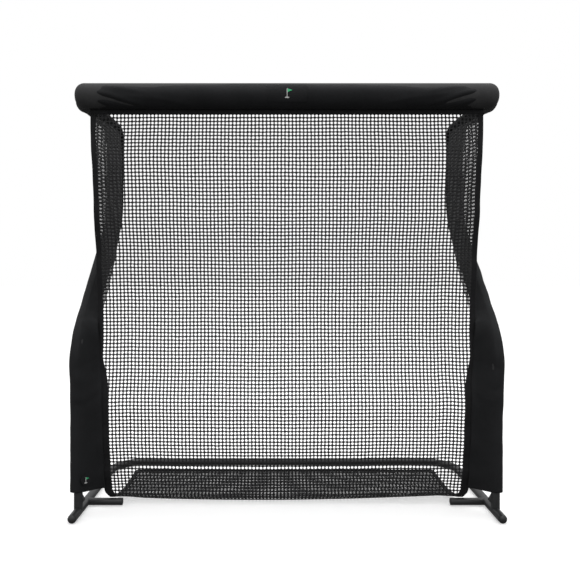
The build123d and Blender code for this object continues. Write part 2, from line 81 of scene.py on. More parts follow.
TUBE_R = (BAR_HIGH.z - BAR_LOW.z) / 2
SIDE_X = (POST_LOW.x + POST_HIGH.x) / 2
UPRIGHT_Y = (POST_LOW.y + POST_HIGH.y) / 2
BAR_Z = (BAR_LOW.z + BAR_HIGH.z) / 2
REAR_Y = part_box("upper_upright_right")[1].y - TUBE_R
DEPTH = REAR_Y - UPRIGHT_Y
SLEEVE_OUT = SLEEVE_HIGH.x - SIDE_X
SLEEVE_IN = SIDE_X - SLEEVE_LOW.x
ROLL_R = ROLL_HIGH.z - BAR_Z


# ---- Settings ------------------------------------------------------------------------------
class TubePathSettings(bpy.types.PropertyGroup):
    """Bends of the side tubes, which the sleeves and side nets follow"""

    lower_bend: FloatProperty(
        name="Lower bend height", description="Where the upright and the slant meet",
        default=0.611, unit="LENGTH")
    upper_bend_drop: FloatProperty(
        name="Upper bend drop", description="Top bar down to where slant and rear tube meet",
        default=0.393, unit="LENGTH")
    upright_radius: FloatProperty(
        name="Upright bend radius", description="Centre-line radius of the slant's two bends",
        default=0.180, unit="LENGTH")
    arm_radius: FloatProperty(
        name="Arm bend radius", description="Centre-line radius of the bends at the top",
        default=0.110, unit="LENGTH")


class NetSettings(bpy.types.PropertyGroup):
    """The square mesh"""

    pitch: FloatProperty(
        name="Mesh pitch", description="Distance from one cord to the next",
        default=0.0131, unit="LENGTH")
    cord: FloatProperty(
        name="Cord width", description="Width of a cord seen square on",
        default=0.0038, unit="LENGTH")
    depth: FloatProperty(
        name="Cord depth", description="Thickness of the mesh", default=0.0015, unit="LENGTH")
    corner: FloatProperty(
        name="Knot size", description="How far a knot fills each corner of an opening",
        default=0.0026, unit="LENGTH")
    wander: FloatProperty(
        name="Wander", description="How far a crossing strays from the even grid",
        default=0.0009, unit="LENGTH")
    columns: IntProperty(
        name="Columns", description="Openings across the hanging mesh", default=103)


class ClothSettings(bpy.types.PropertyGroup):
    """Sleeves, roll and webbing"""

    fabric: FloatProperty(
        name="Fabric", description="Thickness of the sleeve and cover cloth",
        default=0.0012, unit="LENGTH")
    webbing: FloatProperty(
        name="Webbing", description="Thickness of the edge webbing",
        default=0.0033, unit="LENGTH")
    fold: FloatProperty(
        name="Fold height", description="Height of the soft folds in the sleeves",
        default=0.0032, unit="LENGTH")
    drag: FloatProperty(
        name="Drag height", description="Height of the drag lines at the roll's ends",
        default=0.0036, unit="LENGTH")


class FinishSettings(bpy.types.PropertyGroup):
    """Colours"""

    cloth: FloatVectorProperty(
        name="Cloth", description="Sleeve and cover cloth", subtype="COLOR",
        default=(0.0120, 0.0124, 0.0134))
    # Painted sheen: the paler cloth tone, laid over slow noise, stands for the nap catching light.
    cloth_painted_sheen: FloatVectorProperty(
        name="Painted cloth sheen", description="Cloth where the nap catches light", subtype="COLOR",
        default=(0.0200, 0.0206, 0.0224))
    cord: FloatVectorProperty(
        name="Cord", description="Mesh cord", subtype="COLOR",
        default=(0.0105, 0.0105, 0.0115))
    webbing: FloatVectorProperty(
        name="Webbing", description="Edge webbing", subtype="COLOR",
        default=(0.0100, 0.0100, 0.0108))
    paint: FloatVectorProperty(
        name="Paint", description="Powder coat on the tubes", subtype="COLOR",
        default=(0.0200, 0.0205, 0.0215))
    plastic: FloatVectorProperty(
        name="Plastic", description="End caps", subtype="COLOR",
        default=(0.0160, 0.0160, 0.0168))
    accent: FloatVectorProperty(
        name="Accent", description="Pennant on the patch and badge", subtype="COLOR",
        default=(0.030, 0.420, 0.165))
    thread: FloatVectorProperty(
        name="Thread", description="Pole and cup on the patch and badge", subtype="COLOR",
        default=(0.80, 0.80, 0.79))


SETTINGS = {
    "chip_path": TubePathSettings,
    "chip_net": NetSettings,
    "chip_cloth": ClothSettings,
    "chip_finish": FinishSettings,
}


# ---- Small helpers -------------------------------------------------------------------------
def smooth(low, high, value):
    """0 below low, 1 above high, and an even curve between."""
    share = min(1.0, max(0.0, (value - low) / (high - low)))
    return share * share * (3 - 2 * share)


def curve_through(knots, value):
    """A smooth value between (position, value) knots, which are in rising order."""
    if value <= knots[0][0]:
        return knots[0][1]
    for (p0, v0), (p1, v1) in zip(knots, knots[1:]):
        if value <= p1:
            return v0 + (v1 - v0) * smooth(p0, p1, value)
    return knots[-1][1]


def rounded_path(corners, radii, step):
    """Evenly spaced points along straight runs joined by arcs of the given radii."""
    runs = [corners[0]]
    for before, corner, after, radius in zip(corners, corners[1:], corners[2:], radii):
        to_back = (before - corner).normalized()
        to_next = (after - corner).normalized()
        half = to_back.angle(to_next) / 2
        reach = radius / math.tan(half)
        centre = corner + (to_back + to_next).normalized() * (radius / math.sin(half))
        first = corner + to_back * reach - centre
        last = corner + to_next * reach - centre
        turns = max(2, math.ceil(first.angle(last) * radius / step))
        for i in range(turns + 1):
            runs.append(centre + first.slerp(last, i / turns) * radius)
    runs.append(corners[-1])
    lengths = [0.0]
    for a, b in zip(runs, runs[1:]):
        lengths.append(lengths[-1] + (b - a).length)
    count = max(2, round(lengths[-1] / step))
    spaced, at = [], 0
    for i in range(count + 1):
        want = lengths[-1] * i / count
        while at < len(runs) - 2 and lengths[at + 1] < want:
            at += 1
        span = max(lengths[at + 1] - lengths[at], 1e-9)
        spaced.append(runs[at].lerp(runs[at + 1], (want - lengths[at]) / span))
    return spaced


def along(points, distance):
    """The point at a distance along a chain of points."""
    for a, b in zip(points, points[1:]):
        step = (b - a).length
        if distance <= step:
            return a.lerp(b, distance / step)
        distance -= step
    return points[-1]


def chain_length(points):
    """Length of the straight runs from point to point."""
    return sum((b - a).length for a, b in zip(points, points[1:]))


def heading(points, index):
    """The direction of a chain of points at one of them."""
    before, after = points[max(0, index - 1)], points[min(len(points) - 1, index + 1)]
    return (after - before).normalized()


def square_to(points, index):
    """Square to a chain in the side plane: to the back of a rising one, the front of a falling."""
    way = heading(points, index)
    return Vector((0, way.z, -way.y))


def finish_mesh(name, bm, materials, smooth_shading=True):
    """Turn a bmesh into an object at the origin."""
    mesh = bpy.data.meshes.new(name)
    bm.to_mesh(mesh)
    bm.free()
    for material in materials:
        mesh.materials.append(material)
    if smooth_shading:
        mesh.shade_smooth()
    else:
        mesh.shade_flat()
    piece = bpy.data.objects.new(name, mesh)
    bpy.context.scene.collection.objects.link(piece)
    return piece


def mapped_grid(columns, rows, place, cloth_size, wrap=False):
    """A grid whose vertices are put on a surface by place(u, v); UVs are in metres of cloth."""
    bm = bmesh.new()
    bmesh.ops.create_grid(bm, x_segments=columns, y_segments=rows, size=1.0)
    uv = bm.loops.layers.uv.new("cloth")
    for face in bm.faces:
        for loop in face.loops:
            u, v = (loop.vert.co.x + 1) / 2, (loop.vert.co.y + 1) / 2
            loop[uv].uv = (u * cloth_size[0], v * cloth_size[1])
    for vert in bm.verts:
        vert.co = place((vert.co.x + 1) / 2, (vert.co.y + 1) / 2)
    if wrap:
        bmesh.ops.remove_doubles(bm, verts=bm.verts, dist=1e-5)
    bmesh.ops.recalc_face_normals(bm, faces=bm.faces)
    return bm


def close_ends(bm):
    """Fill the open ends of a wrapped grid."""
    rims = [edge for edge in bm.edges if edge.is_boundary]
    bmesh.ops.holes_fill(bm, edges=rims, sides=0)
    bmesh.ops.recalc_face_normals(bm, faces=bm.faces)


def thicken(piece, thickness, offset=0.0):
    """Give an open surface its wall; an offset of 1 puts it outside, -1 inside."""
    shell = piece.modifiers.new("thickness", "SOLIDIFY")
    shell.thickness = thickness
    shell.offset = offset
    shell.use_even_offset = True
    shell.use_quality_normals = True


def ride_frame(piece, slot_name, *nodes):
    """Put a piece on the frame body, in the place of the nodes that it stands for."""
    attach(piece, ROOT)
    if nodes:
        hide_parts(*nodes)


# ---- Shader groups and materials -----------------------------------------------------------
def new_group(name, inputs, outputs):
    """An empty shader group with the inputs and outputs that it is asked for."""
    group = bpy.data.node_groups.new(name, "ShaderNodeTree")
    for label, kind, default in inputs:
        socket = group.interface.new_socket(label, in_out="INPUT", socket_type=kind)
        if default is not None:
            socket.default_value = default
    for label, kind in outputs:
        group.interface.new_socket(label, in_out="OUTPUT", socket_type=kind)
    return group, group.nodes.new("NodeGroupInput"), group.nodes.new("NodeGroupOutput")


def math_node(tree, operation, first, second=None):
    """A Math node fed by sockets or plain numbers; returns its output."""
    node = tree.nodes.new("ShaderNodeMath")
    node.operation = operation
    for socket, value in zip(node.inputs, (first, second)):
        if value is None:
            continue
        if isinstance(value, (int, float)):
            socket.default_value = value
        else:
            tree.links.new(value, socket)
    return node.outputs[0]


def weave_group():
    """Plain weave from a surface's own cloth coordinates, with slow shade changes."""
    group, inner, outer = new_group(
        "Woven cloth",
        [("Vector", "NodeSocketVector", None), ("Threads", "NodeSocketFloat", 900.0),
         ("Drift", "NodeSocketFloat", 9.0)],
        [("Height", "NodeSocketFloat"), ("Shade", "NodeSocketFloat")])
    links = group.links
    split = group.nodes.new("ShaderNodeSeparateXYZ")
    links.new(inner.outputs["Vector"], split.inputs[0])
    waves = []
    for axis in (0, 1):
        turns = math_node(group, "MULTIPLY", split.outputs[axis], inner.outputs["Threads"])
        angle = math_node(group, "MULTIPLY", turns, 2 * math.pi)
        waves.append(math_node(group, "SINE", angle))
    crossing = math_node(group, "MULTIPLY", waves[0], waves[1])
    lifted = math_node(group, "MULTIPLY_ADD", crossing, 0.5)
    lifted.node.inputs[2].default_value = 0.5
    slow = group.nodes.new("ShaderNodeTexNoise")
    slow.inputs["Detail"].default_value = 4.0
    slow.inputs["Roughness"].default_value = 0.6
    links.new(inner.outputs["Vector"], slow.inputs["Vector"])
    links.new(inner.outputs["Drift"], slow.inputs["Scale"])
    contrast = group.nodes.new("ShaderNodeMapRange")
    contrast.inputs["From Min"].default_value = 0.35
    contrast.inputs["From Max"].default_value = 0.68
    links.new(slow.outputs["Fac"], contrast.inputs["Value"])
    # Three quarters of the shade is slow change and a quarter is threads.
    drifting = math_node(group, "MULTIPLY", contrast.outputs["Result"], 0.75)
    threads = math_node(group, "MULTIPLY", lifted, 0.25)
    shade = math_node(group, "ADD", drifting, threads)
    links.new(lifted, outer.inputs["Height"])
    links.new(shade, outer.inputs["Shade"])
    return group


def grain_group():
    """Fine even grain for paint and moulded plastic, and a mask of slow rubbing."""
    group, inner, outer = new_group(
        "Surface grain",
        [("Vector", "NodeSocketVector", None), ("Grain", "NodeSocketFloat", 900.0),
         ("Rub", "NodeSocketFloat", 14.0)],
        [("Height", "NodeSocketFloat"), ("Rubbed", "NodeSocketFloat")])
    links = group.links
    fine = group.nodes.new("ShaderNodeTexNoise")
    fine.inputs["Detail"].default_value = 2.0
    links.new(inner.outputs["Vector"], fine.inputs["Vector"])
    links.new(inner.outputs["Grain"], fine.inputs["Scale"])
    slow = group.nodes.new("ShaderNodeTexNoise")
    slow.inputs["Detail"].default_value = 6.0
    slow.inputs["Roughness"].default_value = 0.65
    links.new(inner.outputs["Vector"], slow.inputs["Vector"])
    links.new(inner.outputs["Rub"], slow.inputs["Scale"])
    sharper = group.nodes.new("ShaderNodeMapRange")
    sharper.inputs["From Min"].default_value = 0.42
    sharper.inputs["From Max"].default_value = 0.66
    links.new(slow.outputs["Fac"], sharper.inputs["Value"])
    links.new(fine.outputs["Fac"], outer.inputs["Height"])
    links.new(sharper.outputs["Result"], outer.inputs["Rubbed"])
    return group


def base_material(name):
    """A new material with its node tree and its Principled shader."""
    material = bpy.data.materials.new(name)
    material.use_nodes = True
    return material, material.node_tree, material.node_tree.nodes["Principled BSDF"]


def placed_group(tree, group, coordinates, **values):
    """A shader group placed in a material, with its own values."""
    node = tree.nodes.new("ShaderNodeGroup")
    node.node_tree = group
    tree.links.new(coordinates, node.inputs["Vector"])
    for label, value in values.items():
        node.inputs[label].default_value = value
    return node


def two_tone(tree, shader, mask, dark, pale):
    """Base colour from dark to pale over a mask."""
    mix = tree.nodes.new("ShaderNodeMix")
    mix.data_type = "RGBA"
    mix.inputs["A"].default_value = (*dark, 1)
    mix.inputs["B"].default_value = (*pale, 1)
    tree.links.new(mask, mix.inputs["Factor"])
    tree.links.new(mix.outputs["Result"], shader.inputs["Base Color"])


def bumped(tree, shader, height, strength, distance):
    """Fine relief from a height."""
    bump = tree.nodes.new("ShaderNodeBump")
    bump.inputs["Strength"].default_value = strength
    bump.inputs["Distance"].default_value = distance
    tree.links.new(height, bump.inputs["Height"])
    tree.links.new(bump.outputs["Normal"], shader.inputs["Normal"])


def lighter(colour, share):
    """A colour made brighter, or darker with a share below 1."""
    return tuple(min(1.0, channel * share) for channel in colour)


def cloth_material(name, weave, dark, pale, threads, drift, sheen):
    """Woven cloth: threads per metre each way, and the scale of its slow changes of shade."""
    material, tree, shader = base_material(name)
    surface = tree.nodes.new("ShaderNodeUVMap")
    surface.uv_map = "cloth"
    cloth = placed_group(tree, weave, surface.outputs["UV"], Threads=threads, Drift=drift)
    # Base colour runs from dark to pale over the shade mask; the pale tone over its slow part is
    # painted sheen where the nap catches light.
    two_tone(tree, shader, cloth.outputs["Shade"], dark, pale)
    bumped(tree, shader, cloth.outputs["Height"], strength=0.35, distance=0.0004)
    shader.inputs["Roughness"].default_value = 0.78
    shader.inputs["Specular IOR Level"].default_value = 0.18
    shader.inputs["Sheen Weight"].default_value = sheen
    shader.inputs["Sheen Roughness"].default_value = 0.45
    return material


RUBBED_ROUGHNESS = 0.12  # how much rougher a rubbed place is


def grained_material(name, group, dark, pale, roughness, grain, rub, bump, metallic=0.0):
    """Paint, plastic, metal, foam or thread: grain and rub are the scales of the two noises."""
    material, tree, shader = base_material(name)
    place = tree.nodes.new("ShaderNodeTexCoord")
    marks = placed_group(tree, group, place.outputs["Object"], Grain=grain, Rub=rub)
    two_tone(tree, shader, marks.outputs["Rubbed"], dark, pale)
    gloss = tree.nodes.new("ShaderNodeMapRange")
    gloss.inputs["To Min"].default_value = roughness
    gloss.inputs["To Max"].default_value = roughness + RUBBED_ROUGHNESS
    tree.links.new(marks.outputs["Rubbed"], gloss.inputs["Value"])
    tree.links.new(gloss.outputs["Result"], shader.inputs["Roughness"])
    bumped(tree, shader, marks.outputs["Height"], strength=bump, distance=0.0003)
    shader.inputs["Metallic"].default_value = metallic
    return material


MATERIALS = {}


def make_materials(finish):
    """Every material, by the short name that the pieces ask for."""
    weave, group = weave_group(), grain_group()
    MATERIALS.update(
        cloth=cloth_material(
            "sleeve cloth", weave, finish.cloth, finish.cloth_painted_sheen,
            threads=700.0, drift=7.0, sheen=0.05),
        # The webbing's paler tone is painted sheen too, laid over the same slow mask.
        webbing=cloth_material(
            "edge webbing", weave, finish.webbing, lighter(finish.webbing, 1.8),
            threads=420.0, drift=30.0, sheen=0.03),
        cord=grained_material(
            "mesh cord", group, finish.cord, lighter(finish.cord, 1.9),
            roughness=0.68, grain=1400.0, rub=40.0, bump=0.30),
        paint=grained_material(
            "powder coat", group, finish.paint, lighter(finish.paint, 1.5),
            roughness=0.36, grain=1100.0, rub=16.0, bump=0.12),
        plastic=grained_material(
            "cap plastic", group, finish.plastic, lighter(finish.plastic, 1.4),
            roughness=0.45, grain=700.0, rub=20.0, bump=0.10),
        accent=grained_material(
            "pennant thread", group, finish.accent, lighter(finish.accent, 1.25),
            roughness=0.60, grain=1500.0, rub=90.0, bump=0.35),
        thread=grained_material(
            "pale thread", group, lighter(finish.thread, 0.9), finish.thread,
            roughness=0.62, grain=1500.0, rub=90.0, bump=0.35),
        steel=grained_material(
            "plated steel", group, (0.42, 0.42, 0.43), (0.56, 0.56, 0.57),
            roughness=0.28, grain=300.0, rub=25.0, bump=0.04, metallic=1.0),
        foam=grained_material(
            "closed-cell foam", group, (0.030, 0.030, 0.031), (0.05, 0.05, 0.051),
            roughness=0.85, grain=500.0, rub=20.0, bump=0.4),
    )


SLOT_MATERIALS = {
    "tube_paint": "paint",
    "cap_plastic": "plastic",
    "button_steel": "steel",
    "spring_steel": "steel",
    "foam": "foam",
    "sleeve_fabric": "cloth",
    "net_cord": "cord",
    "webbing": "webbing",
    "label_fabric": "cloth",
}


# ---- The hanging mesh ----------------------------------------------------------------------
# Height and distance behind the uprights of the hanging mesh, from the toe up.
HANG = [
    (0.044, 0.102), (0.146, 0.071), (0.266, 0.051), (0.382, 0.041), (0.520, 0.066),
    (0.642, 0.076), (0.721, 0.073), (0.894, 0.052), (1.077, 0.014), (1.256, -0.010),
    (1.406, 0.009),
]
# Height and half width of the mesh, and of its webbing edge.
MESH_HALF = [
    (0.030, 0.624), (0.070, 0.638), (0.250, 0.639), (0.430, 0.640), (0.560, 0.663),
    (0.925, 0.665), (1.200, 0.666), (1.406, 0.675),
]
EDGE_HALF = [
    (0.030, 0.646), (0.055, 0.661), (0.080, 0.665), (0.250, 0.665), (0.430, 0.666),
    (0.560, 0.679), (0.925, 0.680), (1.200, 0.680), (1.406, 0.690),
]
# Distance behind the uprights and height of the mesh from the toe round the fold and back.
FOLD = [
    (0.104, 0.044), (0.116, 0.026), (0.136, 0.010), (0.165, 0.0025), (0.21, 0.0), (0.30, 0.0),
    (0.42, 0.0),
]
HANG_STEPS = 60  # runs in a section from the hem down to the toe
HALF_SECTIONS = 20  # sections worked out on each side of the middle one
FLOOR_CLEAR = 0.0012  # the floor mesh above the floor
HEM_CLEAR = 0.0015  # and how much higher it lies in the rear hem
SAG_MIDDLE, SAG_REACH, SAG_HEIGHT = -0.10, 0.68, 0.024  # the toe hangs lowest left of the middle
HELD_FROM, HELD_TO = 0.84, 0.99  # shares of the half width over which the stubs take it up
HELD_CLEAR = 0.006  # the held edge above the stub
HELD_REACH, HELD_CURVE = 0.19, 1.5  # how far back the held edge is off the floor, and its curve
HELD_FORWARD = 0.010  # how far forward the held edge is drawn
UNDER_WEBBING = 0.0035  # how far the mesh runs under its webbing, and the webbing over it
# Two distances behind the uprights between which the mesh and its webbing widen to the width
# of the floor mesh, and between which the webbing comes to lie flat.
MESH_WIDENS = (0.11, 0.20)
WEBBING_WIDENS = (0.100, 0.160)
WEBBING_LIES = (0.095, 0.150)
WANDER_SEED = 11  # vector noise is seeded from the clock unless it is given a seed
STEADY_TOP = 0.02  # the mesh's first stretch, where it is sewn in straight
OPENING_CENTRE = 0.06  # how near a cell's centre an opening's own centre lies, in cells


def hang_back(z):
    """How far behind the uprights the mesh hangs at a height."""
    return curve_through(HANG, z)


def how_far_back(y, start, end):
    """0 at the first of two distances behind the uprights, 1 at the second."""
    return smooth(UPRIGHT_Y + start, UPRIGHT_Y + end, y)


def net_section(x):
    """Points of the mesh at one place across, from its top edge down, round the fold and back.

    The side edges are held up by the stubs and pulled straight to the rear corners; between
    them the mesh sags to the floor, lowest a little to the left of the middle.
    """
    toe_z = FOLD[0][1]
    tops = [HEM_LOW.z - (HEM_LOW.z - toe_z) * i / HANG_STEPS for i in range(HANG_STEPS + 1)]
    points = [Vector((0, UPRIGHT_Y + hang_back(z), z)) for z in tops]
    held = smooth(HELD_FROM, HELD_TO, abs(x) / FLOOR_HALF)
    sag = SAG_HEIGHT * ((x - SAG_MIDDLE) / SAG_REACH) ** 2
    lift = sag + (STUB_HIGH.z + HELD_CLEAR - sag) * held
    stub_back = (STUB_LOW.y + STUB_HIGH.y) / 2 - UPRIGHT_Y
    end_back = REAR_HEM_LOW.y - UPRIGHT_Y
    for back, z in FOLD[1:]:
        share = min(1.0, (end_back - back) / (end_back - stub_back))
        loose = z + lift * share ** 3
        taut = lift * max(0.0, 1 - (back - stub_back) / HELD_REACH) ** HELD_CURVE
        y = UPRIGHT_Y + back - HELD_FORWARD * held * smooth(0.4, 1, share)
        points.append(Vector((0, y, FLOOR_CLEAR + loose + (taut - loose) * held)))
    points.append(Vector((0, REAR_HEM_LOW.y, FLOOR_CLEAR + HEM_CLEAR)))
    return points


def open_mesh(columns, rows, net):
    """A flat square mesh of cords, one cell of the grid round each opening, in metres."""
    bm = bmesh.new()
    bmesh.ops.create_grid(bm, x_segments=columns, y_segments=rows, size=1.0)
    for vert in bm.verts:
        vert.co.x = (vert.co.x + 1) / 2 * columns * net.pitch
        vert.co.y = (vert.co.y + 1) / 2 * rows * net.pitch
    rims = bmesh.ops.inset_individual(
        bm, faces=bm.faces[:], thickness=net.cord / 2, use_even_offset=True)
    ring = set(rims["faces"])
    openings = [face for face in bm.faces if face not in ring]
    corners = list(dict.fromkeys(vert for face in openings for vert in face.verts))
    bmesh.ops.bevel(
        bm, geom=corners, offset=net.corner, offset_type="OFFSET", segments=1, profile=0.5,
        affect="VERTICES", material=-1)
    gone = []
    for face in bm.faces:
        cell = face.calc_center_median() / net.pitch
        off_centre = Vector((cell.x % 1 - 0.5, cell.y % 1 - 0.5))
        if off_centre.length < OPENING_CENTRE and len(face.verts) >= 8:
            gone.append(face)
    bmesh.ops.delete(bm, geom=gone, context="FACES")
    return bm


def strayed(place, amount, seed):
    """A small offset in the plane of the mesh: from cell to cell, and over broad areas."""
    near = noise.noise_vector(Vector((place.x, place.y, seed)) * 55.0)
    broad = noise.noise_vector(Vector((place.x, place.y, seed + 7)) * 6.0)
    return near * amount + broad * amount * 1.6


def mesh_half(point):
    """Half width of the mesh where a point of its section lies."""
    half = curve_through(MESH_HALF, point.z)
    return half + (FLOOR_HALF - half) * how_far_back(point.y, *MESH_WIDENS)


def hanging_mesh(first_row, last_row, net, sections, lengths, total_rows):
    """Rows of the one long sheet, from first_row to last_row counted from the top.

    The sheet keeps its pitch all over and is trimmed where it passes under the webbing.
    """
    bm = open_mesh(net.columns, last_row - first_row, net)
    width = net.columns * net.pitch
    gaps = len(sections) - 1
    for vert in bm.verts:
        flat = Vector((vert.co.x - width / 2, first_row * net.pitch + vert.co.y, 0))
        moved = flat + strayed(flat, net.wander, 1.0) * smooth(0.0, STEADY_TOP, flat.y)
        down = moved.y / (total_rows * net.pitch)
        at = min(max(moved.x / FLOOR_HALF / 2 + 0.5, 0.0), 1.0) * gaps
        low = min(int(at), gaps - 1)
        a = along(sections[low], down * lengths[low])
        b = along(sections[low + 1], down * lengths[low + 1])
        vert.co = a.lerp(b, at - low) + Vector((moved.x, 0, 0))
    trimmed = []
    for face in bm.faces:
        centre = face.calc_center_median()
        if abs(centre.x) > mesh_half(centre) + UNDER_WEBBING:
            trimmed.append(face)
    bmesh.ops.delete(bm, geom=trimmed, context="FACES")
    return bm


class CHIPNET_OT_hanging_net(bpy.types.Operator):
    """The sheet of square mesh that hangs from the roll and lies back along the floor"""

    bl_idname = "chipnet.hanging_net"
    bl_label = "Hanging net"

    def execute(self, context):
        net = context.scene.chip_net
        noise.seed_set(WANDER_SEED)
        sections = [
            net_section((i / HALF_SECTIONS - 1) * FLOOR_HALF) for i in range(2 * HALF_SECTIONS + 1)]
        lengths = [chain_length(section) for section in sections]
        middle, middle_length = sections[HALF_SECTIONS], lengths[HALF_SECTIONS]
        rows = round(middle_length / net.pitch)
        hang_rows = round(chain_length(middle[:HANG_STEPS + 1]) / net.pitch)
        cuts = [0, hang_rows // 4, hang_rows // 2, 3 * hang_rows // 4, hang_rows, rows]
        names = ["net_upper", "net_chest", "net_belly", "net_foot", "net_floor"]
        for name, first, last in zip(names, cuts, cuts[1:]):
            bm = hanging_mesh(first, last, net, sections, lengths, rows)
            piece = finish_mesh(name, bm, [MATERIALS["cord"]])
            thicken(piece, net.depth)
            node = "floor_net" if name == "net_floor" else "main_net"
            ride_frame(piece, "net_cord", node)
            widths = [
                2 * mesh_half(along(middle, middle_length * row / rows))
                for row in range(first, last)]
        return {"FINISHED"}


# ---- Side nets -----------------------------------------------------------------------------
SIDE_FOOT_Z = 0.655  # the side mesh is cut from a sheet whose foot is here
SIDE_SPARE = 2  # columns of that sheet ahead of the uprights
SIDE_BELLY = 0.012  # how far it bellies in between its edges
PATH_STEP = 0.006  # distance between the points of a tube's line
TOP_BAND = 0.014  # width of the webbing on the side net's upper edge


def tube_line(path):
    """The centre line of the right-hand tubes from the floor up to the top bar's corner."""
    corners = [
        Vector((SIDE_X, UPRIGHT_Y, SLEEVE_LOW.z)),
        Vector((SIDE_X, UPRIGHT_Y, path.lower_bend)),
        Vector((SIDE_X, REAR_Y, BAR_Z - path.upper_bend_drop)),
        Vector((SIDE_X, REAR_Y, BAR_Z)),
        Vector((SIDE_X, ARM_FRONT_Y - 0.02, BAR_Z)),
    ]
    radii = [path.upright_radius, path.upright_radius, path.arm_radius]
    return rounded_path(corners, radii, PATH_STEP)


def side_top_edge():
    """The side net's upper edge as (distance behind the uprights, height): hem to rear tube."""
    return (0.014, HEM_LOW.z - 0.010), (DEPTH - 0.030, BAR_Z - 0.034)


def side_net_cuts(path):
    """Lines that trim the side mesh, as a (back, height) point and the direction cut away."""
    knee_z = BAR_Z - path.upper_bend_drop
    slant = math.atan2(DEPTH, knee_z - path.lower_bend)
    turn = path.arm_radius * (1 - math.sqrt(0.5))
    front, rear = side_top_edge()
    return [
        ((0.0, path.lower_bend), (math.cos(slant), -math.sin(slant))),
        ((DEPTH - 0.020, knee_z), (math.cos(slant / 2), -math.sin(slant / 2))),
        ((DEPTH, knee_z), (1.0, 0.0)),
        ((DEPTH - turn, BAR_Z - turn), (1.0, 1.0)),
        (front, (front[1] - rear[1], rear[0] - front[0])),
    ]


def side_net_area(pitch, columns, rows, cuts):
    """Area of the cells that the cuts and the hanging mesh leave."""
    corners = [
        (column * pitch, SIDE_FOOT_Z + row * pitch)
        for column in range(columns) for row in range(rows)]
    kept = sum(
        y >= hang_back(z) and all(
            (y - back) * ny + (z - height) * nz <= 0 for (back, height), (ny, nz) in cuts)
        for y, z in corners)
    return pitch ** 2 * kept


class CHIPNET_OT_side_nets(bpy.types.Operator):
    """Mesh from the hanging sheet's edge back to the sleeves on the rear tubes"""

    bl_idname = "chipnet.side_nets"
    bl_label = "Side nets"

    def execute(self, context):
        net = context.scene.chip_net
        noise.seed_set(WANDER_SEED)
        cuts = side_net_cuts(context.scene.chip_path)
        columns = math.ceil(DEPTH / net.pitch) + SIDE_SPARE + 1
        rows = math.ceil((BAR_Z - SIDE_FOOT_Z) / net.pitch) + 1
        area = side_net_area(net.pitch, columns, rows, cuts)
        for side, sign in SIDES.items():
            bm = open_mesh(columns, rows, net)
            self.trim(bm, net, cuts, sign)
            self.hang(bm, sign)
            piece = finish_mesh(f"side_mesh_{side}", bm, [MATERIALS["cord"]])
            thicken(piece, net.depth)
            ride_frame(piece, "net_cord", f"side_net_{side}")
            self.top_band(side, sign)
        return {"FINISHED"}

    def trim(self, bm, net, cuts, sign):
        """Stand the flat mesh up in the side plane and cut it to its outline."""
        for vert in bm.verts:
            flat = vert.co.copy()
            moved = flat + strayed(flat, net.wander, 3.0 + sign)
            vert.co = Vector((0.0, moved.x - SIDE_SPARE * net.pitch, SIDE_FOOT_Z + moved.y))
        for (back, height), (ny, nz) in cuts:
            bmesh.ops.bisect_plane(
                bm, geom=bm.verts[:] + bm.edges[:] + bm.faces[:], dist=1e-6,
                plane_co=(0, back, height), plane_no=Vector((0, ny, nz)).normalized(),
                clear_outer=True)
        ahead = [
            face for face in bm.faces
            if all(vert.co.y <= hang_back(vert.co.z) + 0.0002 for vert in face.verts)]
        bmesh.ops.delete(bm, geom=ahead, context="FACES")

    def hang(self, bm, sign):
        """Draw the mesh from the hanging sheet's webbing to the sleeve's sewn edge."""
        rear_x = SIDE_X - SLEEVE_IN + 0.004
        for vert in bm.verts:
            back, z = max(vert.co.y, hang_back(vert.co.z)), vert.co.z
            belly = SIDE_BELLY * math.sin(math.pi * min(1, max(0, back / DEPTH)))
            front_x = curve_through(EDGE_HALF, z) - 0.001
            x = front_x + (rear_x - front_x) * smooth(0, DEPTH, back) - belly
            vert.co = Vector((sign * x, UPRIGHT_Y + back, z))
        bmesh.ops.recalc_face_normals(bm, faces=bm.faces)

    def top_band(self, side, sign):
        """The bound upper edge of a side net."""
        (front, front_z), (rear, rear_z) = side_top_edge()
        length = math.hypot(rear - front, rear_z - front_z)
        hem_x = EDGE_HALF[-1][1]

        def place(u, v):
            middle = math.sin(math.pi * v)
            x = hem_x - 0.002 + (SIDE_X - SLEEVE_IN + 0.006 - hem_x) * smooth(0, 1, v) - 0.006 * middle
            y = UPRIGHT_Y + front + (rear - front) * v
            z = front_z + (rear_z - front_z) * v - 0.004 * middle
            return Vector((sign * x, y, z + TOP_BAND * (u - 0.5)))

        bm = mapped_grid(4, 90, place, (TOP_BAND, length))
        piece = finish_mesh(f"side_top_webbing_{side}", bm, [MATERIALS["webbing"]])
        thicken(piece, bpy.context.scene.chip_cloth.webbing)
        ride_frame(piece, "webbing")


# ---- Webbing edges -------------------------------------------------------------------------
WEBBING_STEPS = 260  # lengths of webbing from the hem to the rear corner
LYING_HALF = 0.0046  # half thickness where the webbing lies on the floor
SQUARENESS = 0.6  # 1 leaves the webbing's section oval, less flattens its sides


def edge_section(count):
    """The side edge's chain of points, from the top of the mesh to the rear corner."""
    chain = net_section(FLOOR_HALF)
    total = chain_length(chain)
    return [along(chain, total * i / count) for i in range(count + 1)]


def webbing_edges(point):
    """Half widths at the webbing's inner and outer edge, where a point of its chain lies."""
    widened = how_far_back(point.y, *WEBBING_WIDENS)
    inner, outer = curve_through(MESH_HALF, point.z), curve_through(EDGE_HALF, point.z)
    inner += (FLOOR_HALF - 0.002 - inner) * widened
    outer += (FLOOR_HALF + 0.010 - outer) * widened
    return inner - UNDER_WEBBING, outer


def flattened(value):
    """A sine or cosine pushed towards -1 and 1, which turns a circle into a flattened bar."""
    return math.copysign(abs(value) ** SQUARENESS, value)


